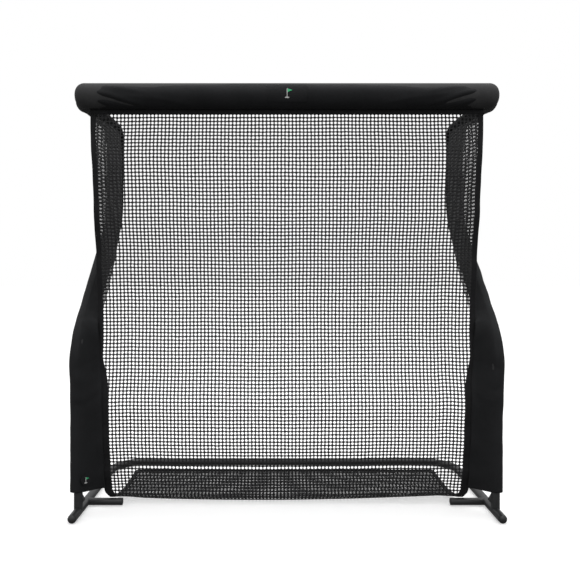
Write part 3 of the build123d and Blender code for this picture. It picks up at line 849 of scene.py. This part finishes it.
def webbing_surface(chain, sign, thickness):
    """The surface of the webbing on one side: a flattened loop along its chain of points."""
    count = len(chain) - 1

    def place(u, v):
        index = round(v * count)
        point = chain[index]
        out = square_to(chain, index)
        inner, outer = webbing_edges(point)
        wave = noise.noise(Vector((v * 24, sign * 3.0, 0))) * 0.0012
        lying = how_far_back(point.y, *WEBBING_LIES)
        half = thickness / 2 + (LYING_HALF - thickness / 2) * lying
        angle = 2 * math.pi * u
        x = (inner + outer) / 2 + (outer - inner) / 2 * flattened(math.cos(angle)) + wave
        spot = point + out * (half * flattened(math.sin(angle)))
        return Vector((sign * x, spot.y, max(spot.z + 0.003 * lying, 0.0004)))

    return place


class CHIPNET_OT_edge_webbing(bpy.types.Operator):
    """Webbing down each side edge of the mesh, round the fold and back along the floor"""

    bl_idname = "chipnet.edge_webbing"
    bl_label = "Edge webbing"

    def execute(self, context):
        chain = edge_section(WEBBING_STEPS)
        length = chain_length(chain)
        for side, sign in SIDES.items():
            surface = webbing_surface(chain, sign, context.scene.chip_cloth.webbing)
            bm = mapped_grid(16, WEBBING_STEPS, surface, (0.050, length), wrap=True)
            close_ends(bm)
            piece = finish_mesh(f"edge_webbing_{side}", bm, [MATERIALS["webbing"]])
            ride_frame(piece, "webbing", f"net_binding_{side}", f"floor_edge_{side}")
        return {"FINISHED"}


class CHIPNET_OT_rear_hem(bpy.types.Operator):
    """The rolled hem across the back of the floor mesh"""

    bl_idname = "chipnet.rear_hem"
    bl_label = "Rear hem"

    def execute(self, context):
        half_width = REAR_HEM_HIGH.x
        half_depth = (REAR_HEM_HIGH.y - REAR_HEM_LOW.y) / 2
        half_height = 1.7 * (REAR_HEM_HIGH.z - REAR_HEM_LOW.z) / 2  # rolled, so fuller than flat

        def place(u, v):
            angle = 2 * math.pi * u
            x = (2 * v - 1) * half_width
            end = smooth(0, 0.010, half_width - abs(x))
            wave = noise.noise(Vector((x * 5, 0, 4.0))) * 0.003
            y = REAR_HEM_LOW.y + half_depth * (1 + math.cos(angle) * (0.4 + 0.6 * end)) + wave
            z = half_height * (1 + math.sin(angle) * (0.5 + 0.5 * end))
            return Vector((x, y, z))

        bm = mapped_grid(14, 240, place, (0.036, 2 * half_width), wrap=True)
        close_ends(bm)
        piece = finish_mesh("rear_hem_roll", bm, [MATERIALS["webbing"]])
        ride_frame(piece, "webbing", "rear_hem")
        return {"FINISHED"}


# ---- Sleeves -------------------------------------------------------------------------------
BINDING_FROM = 0.665  # the height from which a sleeve's sewn edge is bound
ARM_FOLDS_FROM = 1.6  # keeps the arm's folds apart from the side sleeve's

# Folds across a sleeve: distance along it, height of the fold, half width, tilt.
FOLDS = [
    (0.300, 0.35, 0.030, 0.10), (0.395, -0.60, 0.014, -0.16), (0.418, 0.90, 0.016, -0.10),
    (0.452, -0.80, 0.012, 0.12), (0.488, 1.00, 0.020, 0.08), (0.530, -0.70, 0.013, -0.10),
    (0.566, 0.90, 0.018, 0.14), (0.612, -0.50, 0.014, 0.05), (0.650, 0.70, 0.020, -0.12),
    (0.700, -0.40, 0.016, 0.10), (0.760, 0.45, 0.026, 0.06), (0.840, -0.30, 0.020, -0.06),
]


def fold_height(distance, inward, sign, fold):
    """Height of the folds at a place on a sleeve."""
    total = 0.0
    for at, share, width, tilt in FOLDS:
        shifted = distance - at - tilt * sign * inward - 0.012 * math.sin(9 * at + 60 * inward)
        fade = 0.55 + 0.45 * math.sin(60 * at * sign + 40 * inward)
        total += share * fade * math.exp(-((shifted / width) ** 2))
    return total * fold


def loose_cloth(distance, inward, tip_in, sign, fold):
    """How far folds and slack lift the cloth, which lies flat at both of the sleeve's edges."""
    share = (inward + SLEEVE_OUT) / (tip_in + SLEEVE_OUT)
    loose = math.sin(math.pi * min(1.0, max(0.0, share)))
    lump = fold_height(distance, inward, sign, fold) * loose
    slack = noise.noise(Vector((inward * 14, distance * 9, sign * 5.0))) * 0.0016 * loose
    return max(lump, -0.0024) + slack


def outer_wave(distance, sign):
    """How far the outer edge stands out: fuller at the lower bend, drawn in low on the right."""
    wave = noise.noise(Vector((distance * 16, sign * 2.0, 1.0))) * 0.0016
    wave += 0.0035 * math.exp(-((distance - 0.530) / 0.070) ** 2)
    if sign > 0:
        wave -= 0.0030 * (1 - smooth(0.30, 0.42, distance))
    return wave


def sleeve_loop(turn, tip_in, tip_back, sag):
    """A point of the flattened loop round the tube: (inward, to the back).

    turn runs from 0 at the outer fold, over the front to 0.5 at the sewn tip, and back.
    """
    front = turn <= 0.5
    share = turn * 2 if front else (1 - turn) * 2
    inward = (tip_in + SLEEVE_OUT) * share - SLEEVE_OUT
    bulge = TUBE_R + 0.0035
    if inward < 0:
        centre = 0.0
        swell = bulge * math.sqrt(max(0.0, 1 - (inward / (SLEEVE_OUT + 0.001)) ** 2))
    else:
        centre = tip_back * smooth(0.0, 1.0, inward / tip_in)
        swell = bulge * max(0.0, 1 - inward / tip_in) ** 1.15 + 0.0007
    return inward, centre + (-swell * (1 + sag) if front else swell)


def sleeve_piece(name, points, start_at, sign, cloth, tip):
    """A sleeve along a tube; tip(point) gives its sewn edge as (inward, to the back, sag)."""
    count, length = len(points) - 1, chain_length(points)

    def place(u, v):
        index = round(v * count)
        distance = start_at + v * length
        turn = u % 1.0
        tip_in, tip_back, sag = tip(points[index])
        inward, behind = sleeve_loop(turn, tip_in, tip_back, sag)
        lift = loose_cloth(distance, inward, tip_in, sign, cloth.fold)
        behind += -lift if turn <= 0.5 else lift
        spot = points[index] + square_to(points, index) * behind
        x = spot.x - inward + outer_wave(distance, sign) * smooth(-0.01, -SLEEVE_OUT, inward)
        foot = 1 - smooth(SLEEVE_LOW.z, SLEEVE_LOW.z + 0.12, distance)
        dip = 0.014 * smooth(0, 1, inward / tip_in) * foot
        return Vector((sign * x, spot.y, spot.z - dip))

    bm = mapped_grid(64, count, place, (0.19, length), wrap=True)
    piece = finish_mesh(name, bm, [MATERIALS["cloth"]])
    thicken(piece, cloth.fabric, offset=1.0)
    return piece, length


def edge_binding(name, points, sign, tip):
    """Dark webbing folded over a sleeve's sewn edge, where the side net is held."""
    count, length = len(points) - 1, chain_length(points)

    def place(u, v):
        index = round(v * count)
        tip_in, tip_back, _ = tip(points[index])
        angle = 2 * math.pi * u
        behind = tip_back + 0.0075 * math.sin(angle) * smooth(0.0, 0.02, v)
        spot = points[index] + square_to(points, index) * behind
        return Vector((sign * (spot.x - tip_in + 0.0022 * math.cos(angle)), spot.y, spot.z))

    bm = mapped_grid(12, count, place, (0.034, length), wrap=True)
    close_ends(bm)
    return finish_mesh(name, bm, [MATERIALS["webbing"]]), length


def side_tip(point):
    """The side sleeve's sewn edge: out to the hanging mesh below, and narrow above it."""
    joined = 1 - smooth(0.60, 0.76, point.z)
    to_mesh = SIDE_X - curve_through(EDGE_HALF, point.z) - SLEEVE_IN + 0.007
    to_back = (hang_back(point.z) - (point.y - UPRIGHT_Y)) * joined
    return SLEEVE_IN - 0.001 + to_mesh * joined, max(0.0, to_back - 0.003), 0.0


def arm_tip(point):
    """The arm sleeve's sewn edge, which turns forward and hangs where the arm lies level."""
    lying = smooth(BAR_Z - 0.10, BAR_Z - 0.01, point.z)
    return SLEEVE_IN - 0.001 + 0.012 * lying, -0.022 * lying, 0.55 * lying


class CHIPNET_OT_sleeves(bpy.types.Operator):
    """Fabric sleeves on the side tubes and the arms"""

    bl_idname = "chipnet.sleeves"
    bl_label = "Sleeves"

    def execute(self, context):
        cloth = context.scene.chip_cloth
        line = tube_line(context.scene.chip_path)
        bound = next(i for i, p in enumerate(line) if p.z > BINDING_FROM)
        seam = next(
            i for i, p in enumerate(line) if p.y > REAR_Y - 0.001 and p.z > SLEEVE_HIGH.z)
        side_line, arm_line = line[:seam + 1], line[seam:]
        for side, sign in SIDES.items():
            lower, length = sleeve_piece(
                f"sleeve_{side}", side_line, SLEEVE_LOW.z, sign, cloth, side_tip)
            ride_frame(lower, "sleeve_fabric", f"side_sleeve_{side}", f"edge_panel_{side}")
            upper, length = sleeve_piece(
                f"arm_cloth_{side}", arm_line, SLEEVE_LOW.z + ARM_FOLDS_FROM, sign, cloth, arm_tip)
            ride_frame(upper, "sleeve_fabric", f"arm_sleeve_{side}")
            for part, run, tip in (
                    ("side", line[bound:seam + 1], side_tip), ("arm", arm_line, arm_tip)):
                edge, length = edge_binding(f"{part}_edge_{side}", run, sign, tip)
                ride_frame(edge, "webbing")
        return {"FINISHED"}


# ---- Padded roll ---------------------------------------------------------------------------
ROLL_CORNER_R = 0.110

# The cover's reach above, in front of and below the bar, by distance from the middle.
ROLL_ABOVE = [
    (0.0, 0.0430), (0.560, 0.0422), (0.680, 0.0395), (0.730, 0.0350), (0.790, 0.0275),
    (0.850, 0.0240),
]
ROLL_FRONT = [
    (0.0, 0.0455), (0.610, 0.0450), (0.690, 0.0425), (0.740, 0.0375), (0.790, 0.0285),
    (0.850, 0.0250),
]
ROLL_BELOW = [
    (0.0, 0.0450), (0.620, 0.0450), (0.700, 0.0430), (0.760, 0.0400), (0.810, 0.0340),
    (0.870, 0.0290),
]
DROOP_RIGHT, DROOP_LEFT = 0.0055, 0.002  # how far the cover's top sinks towards each end

# Drag lines on the roll's ends: start and end as (distance from the middle, turn from the
# front, up positive, in degrees), height and half width.
DRAGS = [
    ((0.785, 20), (0.590, -58), 1.0, 0.0080), ((0.765, -4), (0.620, -68), -0.8, 0.0065),
    ((0.760, 40), (0.500, -52), 0.9, 0.0090), ((0.740, 14), (0.520, -64), -0.8, 0.0075),
    ((0.650, 44), (0.430, -30), 0.6, 0.0110), ((0.600, 22), (0.400, -46), -0.5, 0.0100),
    ((0.560, -8), (0.340, -50), 0.4, 0.0080), ((0.770, 34), (0.700, -40), -0.5, 0.0080),
]
DRAG_RUN_OUT = 0.25  # how far a drag line runs on past its ends, as a share of its length


def roll_line():
    """The roll's centre line from the middle to the right-hand arm."""
    middle = Vector((0, UPRIGHT_Y, BAR_Z))
    corner = Vector((SIDE_X, UPRIGHT_Y, BAR_Z))
    end = Vector((SIDE_X, ROLL_HIGH.y, BAR_Z))
    return rounded_path([middle, corner, end], [ROLL_CORNER_R], PATH_STEP)


def drag_height(run, turn, side, drag):
    """Height of the drag lines at a place on the roll; each one rises and dies out slowly."""
    total = 0.0
    for (from_run, from_turn), (to_run, to_turn), share, width in DRAGS:
        span = (run - to_run) / (from_run - to_run)
        if not -DRAG_RUN_OUT < span < 1 + DRAG_RUN_OUT:
            continue
        bow = 9 * math.sin(math.pi * min(1, max(0, span)))
        centre = to_turn + (from_turn - to_turn) * span + bow + 4 * side
        away = math.radians(turn - centre) * ROLL_R
        rise = smooth(-DRAG_RUN_OUT, 0.45, span) * (1 - smooth(0.55, 1 + DRAG_RUN_OUT, span))
        total += share * rise * math.exp(-((away / width) ** 2))
    return total * drag


def roll_reach(run, angle, side):
    """The cover's distance from the bar at a place round it."""
    up = math.sin(angle)
    level = curve_through(ROLL_FRONT, run)
    if up > 0:
        droop = (DROOP_RIGHT if side > 0 else DROOP_LEFT) * smooth(0.15, 0.70, run)
        other = curve_through(ROLL_ABOVE, run) - droop
    else:
        other = curve_through(ROLL_BELOW, run)
    return level + (other - level) * up * up


class CHIPNET_OT_roll(bpy.types.Operator):
    """The padded cover over the top bar, drawn in over the arms behind the corners"""

    bl_idname = "chipnet.roll"
    bl_label = "Padded roll"

    def execute(self, context):
        cloth = context.scene.chip_cloth
        line = roll_line()
        count = len(line) - 1
        run = [0.0]
        for a, b in zip(line, line[1:]):
            run.append(run[-1] + (b - a).length)

        def place(u, v):
            signed = round((2 * v - 1) * count)
            index, side = abs(signed), (1 if signed >= 0 else -1)
            way = heading(line, index)
            front = Vector((way.y, -way.x, 0))
            turn = u * 360 - 180
            angle = math.radians(turn)
            drag = drag_height(run[index], turn, side, cloth.drag)
            slack = noise.noise(Vector((line[index].x * side * 7, angle * 1.3, 2.0))) * 0.0013
            reach = roll_reach(run[index], angle, side) + drag + slack
            up = Vector((0, 0, math.sin(angle) * reach))
            spot = line[index] + front * (math.cos(angle) * reach) + up
            return Vector((spot.x * side, spot.y, spot.z))

        girth = 2 * math.pi * ROLL_R
        bm = mapped_grid(96, 2 * count, place, (girth, 2 * run[-1]), wrap=True)
        piece = finish_mesh("padded_roll", bm, [MATERIALS["cloth"]])
        thicken(piece, cloth.fabric, offset=-1.0)
        ride_frame(piece, "sleeve_fabric", "top_cover")
        return {"FINISHED"}


class CHIPNET_OT_top_hem(bpy.types.Operator):
    """The webbing along the roll's lower edge that carries the mesh"""

    bl_idname = "chipnet.top_hem"
    bl_label = "Top hem"

    def execute(self, context):
        half = HEM_HIGH.x
        middle_y = (HEM_LOW.y + HEM_HIGH.y) / 2
        height = HEM_HIGH.z - HEM_LOW.z + 0.003  # its top is under the roll

        def place(u, v):
            x = (2 * v - 1) * half
            wave = noise.noise(Vector((x * 9, 0, 8.0))) * 0.0016
            crown = -0.0012 * math.sin(math.pi * u)
            y = middle_y + wave * (1 - u) + crown
            return Vector((x, y, HEM_LOW.z + height * u + wave * 0.5))

        bm = mapped_grid(6, 300, place, (height, 2 * half))
        piece = finish_mesh("roll_hem", bm, [MATERIALS["webbing"]])
        thicken(piece, context.scene.chip_cloth.webbing)
        ride_frame(piece, "webbing", "top_hem")
        return {"FINISHED"}


# ---- Patch and badge -----------------------------------------------------------------------
PATCH_CORNER, PATCH_THICKNESS, BADGE_THICKNESS = 0.004, 0.0011, 0.0010
SEWN_RIM = 0.0004  # the rounded rim of the patch and the badge
MARK_THICKNESS, MARK_RIM = 0.0008, 0.0002


def on_roll(across, up, lift):
    """A place on the front of the roll."""
    radius = ROLL_R + 0.0004 + lift
    angle = up / ROLL_R
    return Vector((across, UPRIGHT_Y - radius * math.cos(angle), BAR_Z + radius * math.sin(angle)))


def on_badge(across, up, lift):
    """A place on the badge's tilted plane."""
    centre = (BADGE_LOW + BADGE_HIGH) / 2
    lean = math.atan2(BADGE_HIGH.y - BADGE_LOW.y, BADGE_HIGH.x - BADGE_LOW.x)
    right = Vector((math.cos(lean), math.sin(lean), 0))
    out = Vector((math.sin(lean), -math.cos(lean), 0))
    return centre + right * across + Vector((0, 0, up)) + out * (lift + 0.0005)


def flat_plate(outline, on_surface, thickness, rim, cuts):
    """A thin plate with a flat outline, divided cuts times and bent onto a surface."""
    bm = bmesh.new()
    face = bm.faces.new([bm.verts.new((x, y, 0)) for x, y in outline])
    bmesh.ops.triangulate(bm, faces=[face])
    for _ in range(cuts):
        bmesh.ops.subdivide_edges(bm, edges=bm.edges[:], cuts=1, use_grid_fill=True)
    grown = bmesh.ops.extrude_face_region(bm, geom=bm.faces[:])
    top = [item for item in grown["geom"] if isinstance(item, bmesh.types.BMVert)]
    bmesh.ops.translate(bm, verts=top, vec=(0, 0, thickness))
    edges = [
        edge for edge in bm.edges
        if all(vert.co.z > thickness / 2 for vert in edge.verts) and edge.calc_face_angle(0) > 0.5]
    bmesh.ops.bevel(
        bm, geom=edges, offset=rim, offset_type="OFFSET", segments=2, profile=0.5,
        affect="EDGES", material=-1)
    uv = bm.loops.layers.uv.new("cloth")
    for plate_face in bm.faces:
        for loop in plate_face.loops:
            loop[uv].uv = loop.vert.co.xy
    for vert in bm.verts:
        vert.co = on_surface(*vert.co)
    bmesh.ops.recalc_face_normals(bm, faces=bm.faces)
    return bm


def rounded_oblong(width, height, radius, steps=6):
    """The outline of an oblong with rounded corners."""
    points = []
    for turn, (sx, sy) in enumerate([(1, 1), (-1, 1), (-1, -1), (1, -1)]):
        centre = (sx * (width / 2 - radius), sy * (height / 2 - radius))
        for i in range(steps + 1):
            angle = math.radians(90 * turn + 90 * i / steps)
            points.append((centre[0] + radius * math.cos(angle), centre[1] + radius * math.sin(angle)))
    return points


def oval(x, y, half_width, half_height, count=32):
    """The outline of an oval round (x, y)."""
    turns = [2 * math.pi * i / count for i in range(count)]
    return [(x + half_width * math.cos(t), y + half_height * math.sin(t)) for t in turns]


def pennant_mark(prefix, size, on_surface, lift):
    """A plain golf pennant on a pole over a cup, in three sewn pieces."""
    half = size / 2
    flag_x = size * 0.06
    flag = [(flag_x, half), (size * 0.62, half - size * 0.20), (flag_x, half - size * 0.42)]
    parts = (
        ("pole", rounded_oblong(size * 0.07, size, size * 0.03), "thread"),
        ("flag", flag, "accent"),
        ("cup", oval(0, -half, size * 0.26, size * 0.075), "thread"),
    )

    def lifted(across, up, height):
        return on_surface(across, up, height + lift)

    for part, outline, material in parts:
        bm = flat_plate(outline, lifted, MARK_THICKNESS, MARK_RIM, cuts=1)
        piece = finish_mesh(f"{prefix}_{part}", bm, [MATERIALS[material]], smooth_shading=False)
        ride_frame(piece, "label_fabric")


class CHIPNET_OT_labels(bpy.types.Operator):
    """The oblong patch on the roll and the round badge on the left sleeve"""

    bl_idname = "chipnet.labels"
    bl_label = "Patch and badge"

    def execute(self, context):
        width, height = PATCH_HIGH.x - PATCH_LOW.x, PATCH_HIGH.z - PATCH_LOW.z
        outline = rounded_oblong(width, height, PATCH_CORNER)
        bm = flat_plate(outline, on_roll, PATCH_THICKNESS, SEWN_RIM, cuts=3)
        patch = finish_mesh("roll_patch", bm, [MATERIALS["cloth"]], smooth_shading=False)
        ride_frame(patch, "label_fabric", "cover_patch")
        pennant_mark("patch", height * 0.50, on_roll, PATCH_THICKNESS)
        radius = (BADGE_HIGH.z - BADGE_LOW.z) / 2
        outline = oval(0, 0, radius, radius, count=48)
        bm = flat_plate(outline, on_badge, BADGE_THICKNESS, SEWN_RIM, cuts=1)
        badge = finish_mesh("sleeve_badge_disc", bm, [MATERIALS["webbing"]], smooth_shading=False)
        ride_frame(badge, "label_fabric", "sleeve_badge")
        pennant_mark("badge", radius * 1.15, on_badge, BADGE_THICKNESS)
        return {"FINISHED"}


# ---- Frame finishes ------------------------------------------------------------------------
class CHIPNET_OT_finishes(bpy.types.Operator):
    """Every material, and the finishes of the tubes, caps, buttons and springs"""

    bl_idname = "chipnet.finishes"
    bl_label = "Finishes"

    def execute(self, context):
        make_materials(context.scene.chip_finish)
        slots = {row["node"]: row["material_slot"] for row in frame["record"]["subparts"]}
        for node, piece in frame["nodes"].items():
            piece.data.materials.clear()
            piece.data.materials.append(MATERIALS[SLOT_MATERIALS[slots[node]]])
        return {"FINISHED"}


# ---- Floor, light and camera ---------------------------------------------------------------
WHITE = (1, 1, 1, 1)
FLOOR_REACH = 30.0  # half the floor's width
CAMERA_X, CAMERA_BEFORE, CAMERA_Z = -0.043, 2.527, 0.866  # across, before the uprights, up
SENSOR, LENS = 36.0, 44.814  # mm
SHIFT_X, SHIFT_Y = 0.02655, -0.03793  # in widths of the picture
LAMP_SIZE = 3.0
LAMP_AIM = Vector((0, 0, 0.7))


class CHIPNET_OT_stage(bpy.types.Operator):
    """A pale floor, soft light all round and the camera"""

    bl_idname = "chipnet.stage"
    bl_label = "Stage"

    def execute(self, context):
        scene = context.scene
        self.floor()
        self.light("key", (-0.4, -3.4, 3.6), 24)
        self.light("top", (0.3, 0.2, 4.4), 60)
        scene.world = self.studio_world()
        scene.view_settings.view_transform = "Standard"
        scene.camera = self.camera()
        return {"FINISHED"}

    def floor(self):
        """A pale floor that glows a little itself and sheds no light on the object."""
        material, _, shader = base_material("pale floor")
        shader.inputs["Base Color"].default_value = (0.80, 0.80, 0.80, 1)
        shader.inputs["Emission Color"].default_value = WHITE
        shader.inputs["Emission Strength"].default_value = 0.42
        shader.inputs["Roughness"].default_value = 0.9
        shader.inputs["Specular IOR Level"].default_value = 0.1
        bm = bmesh.new()
        bmesh.ops.create_grid(bm, x_segments=1, y_segments=1, size=FLOOR_REACH)
        floor = finish_mesh("floor", bm, [material], smooth_shading=False)
        floor.visible_diffuse = False
        floor.visible_glossy = False

    def camera(self):
        """A level camera in front of the net, a little left of its middle."""
        camera = bpy.data.cameras.new("camera")
        camera.sensor_width = SENSOR
        camera.lens = LENS
        camera.shift_x = SHIFT_X
        camera.shift_y = SHIFT_Y
        eye = bpy.data.objects.new("camera", camera)
        eye.location = (CAMERA_X, UPRIGHT_Y - CAMERA_BEFORE, CAMERA_Z)
        eye.rotation_euler = (math.pi / 2, 0, 0)
        bpy.context.scene.collection.objects.link(eye)
        return eye

    def studio_world(self):
        """White behind the object; light that is bright above and dim below."""
        world = bpy.data.worlds.new("studio")
        world.use_nodes = True
        tree = world.node_tree
        direction = tree.nodes.new("ShaderNodeTexCoord")
        split = tree.nodes.new("ShaderNodeSeparateXYZ")
        tree.links.new(direction.outputs["Generated"], split.inputs[0])
        fall = tree.nodes.new("ShaderNodeMapRange")
        fall.inputs["From Min"].default_value = -0.35
        fall.inputs["From Max"].default_value = 0.75
        fall.inputs["To Min"].default_value = 0.16
        fall.inputs["To Max"].default_value = 1.0
        tree.links.new(split.outputs["Z"], fall.inputs["Value"])
        lit = tree.nodes["Background"]
        lit.inputs["Color"].default_value = WHITE
        tree.links.new(fall.outputs["Result"], lit.inputs["Strength"])
        seen = tree.nodes.new("ShaderNodeBackground")
        seen.inputs["Color"].default_value = WHITE
        path = tree.nodes.new("ShaderNodeLightPath")
        choice = tree.nodes.new("ShaderNodeMixShader")
        tree.links.new(path.outputs["Is Camera Ray"], choice.inputs[0])
        tree.links.new(lit.outputs[0], choice.inputs[1])
        tree.links.new(seen.outputs[0], choice.inputs[2])
        tree.links.new(choice.outputs[0], tree.nodes["World Output"].inputs["Surface"])
        return world

    def light(self, name, place, power):
        """A broad square lamp aimed at the middle of the net."""
        lamp = bpy.data.lights.new(name, "AREA")
        lamp.size = LAMP_SIZE
        lamp.energy = power
        holder = bpy.data.objects.new(name, lamp)
        holder.location = place
        aim = LAMP_AIM - Vector(place)
        holder.rotation_euler = aim.to_track_quat("-Z", "Y").to_euler()
        bpy.context.scene.collection.objects.link(holder)


# ---- Panel and registration ----------------------------------------------------------------
OPERATORS = (
    CHIPNET_OT_finishes,
    CHIPNET_OT_stage,
    CHIPNET_OT_hanging_net,
    CHIPNET_OT_side_nets,
    CHIPNET_OT_edge_webbing,
    CHIPNET_OT_rear_hem,
    CHIPNET_OT_sleeves,
    CHIPNET_OT_roll,
    CHIPNET_OT_top_hem,
    CHIPNET_OT_labels,
)


class CHIPNET_PT_panel(bpy.types.Panel):
    """Lists the steps that dress the frame"""

    bl_idname = "CHIPNET_PT_panel"
    bl_label = "Chipping Net"
    bl_space_type = "VIEW_3D"
    bl_region_type = "UI"
    bl_category = "Chipping Net"

    def draw(self, context):
        for operator in OPERATORS:
            self.layout.operator(operator.bl_idname)


CLASSES = (*SETTINGS.values(), *OPERATORS, CHIPNET_PT_panel)


def register():
    """Make the settings, operators and panel known to Blender."""
    for cls in CLASSES:
        bpy.utils.register_class(cls)
    for name, group in SETTINGS.items():
        setattr(bpy.types.Scene, name, PointerProperty(type=group))


def unregister():
    """Take them away again."""
    for name in SETTINGS:
        delattr(bpy.types.Scene, name)
    for cls in reversed(CLASSES):
        bpy.utils.unregister_class(cls)


def main():
    """Dress the frame, one operator after the other."""
    register()
    for operator in OPERATORS:
        group, name = operator.bl_idname.split(".")
        getattr(getattr(bpy.ops, group), name)()


if __name__ == "__main__":
    main()
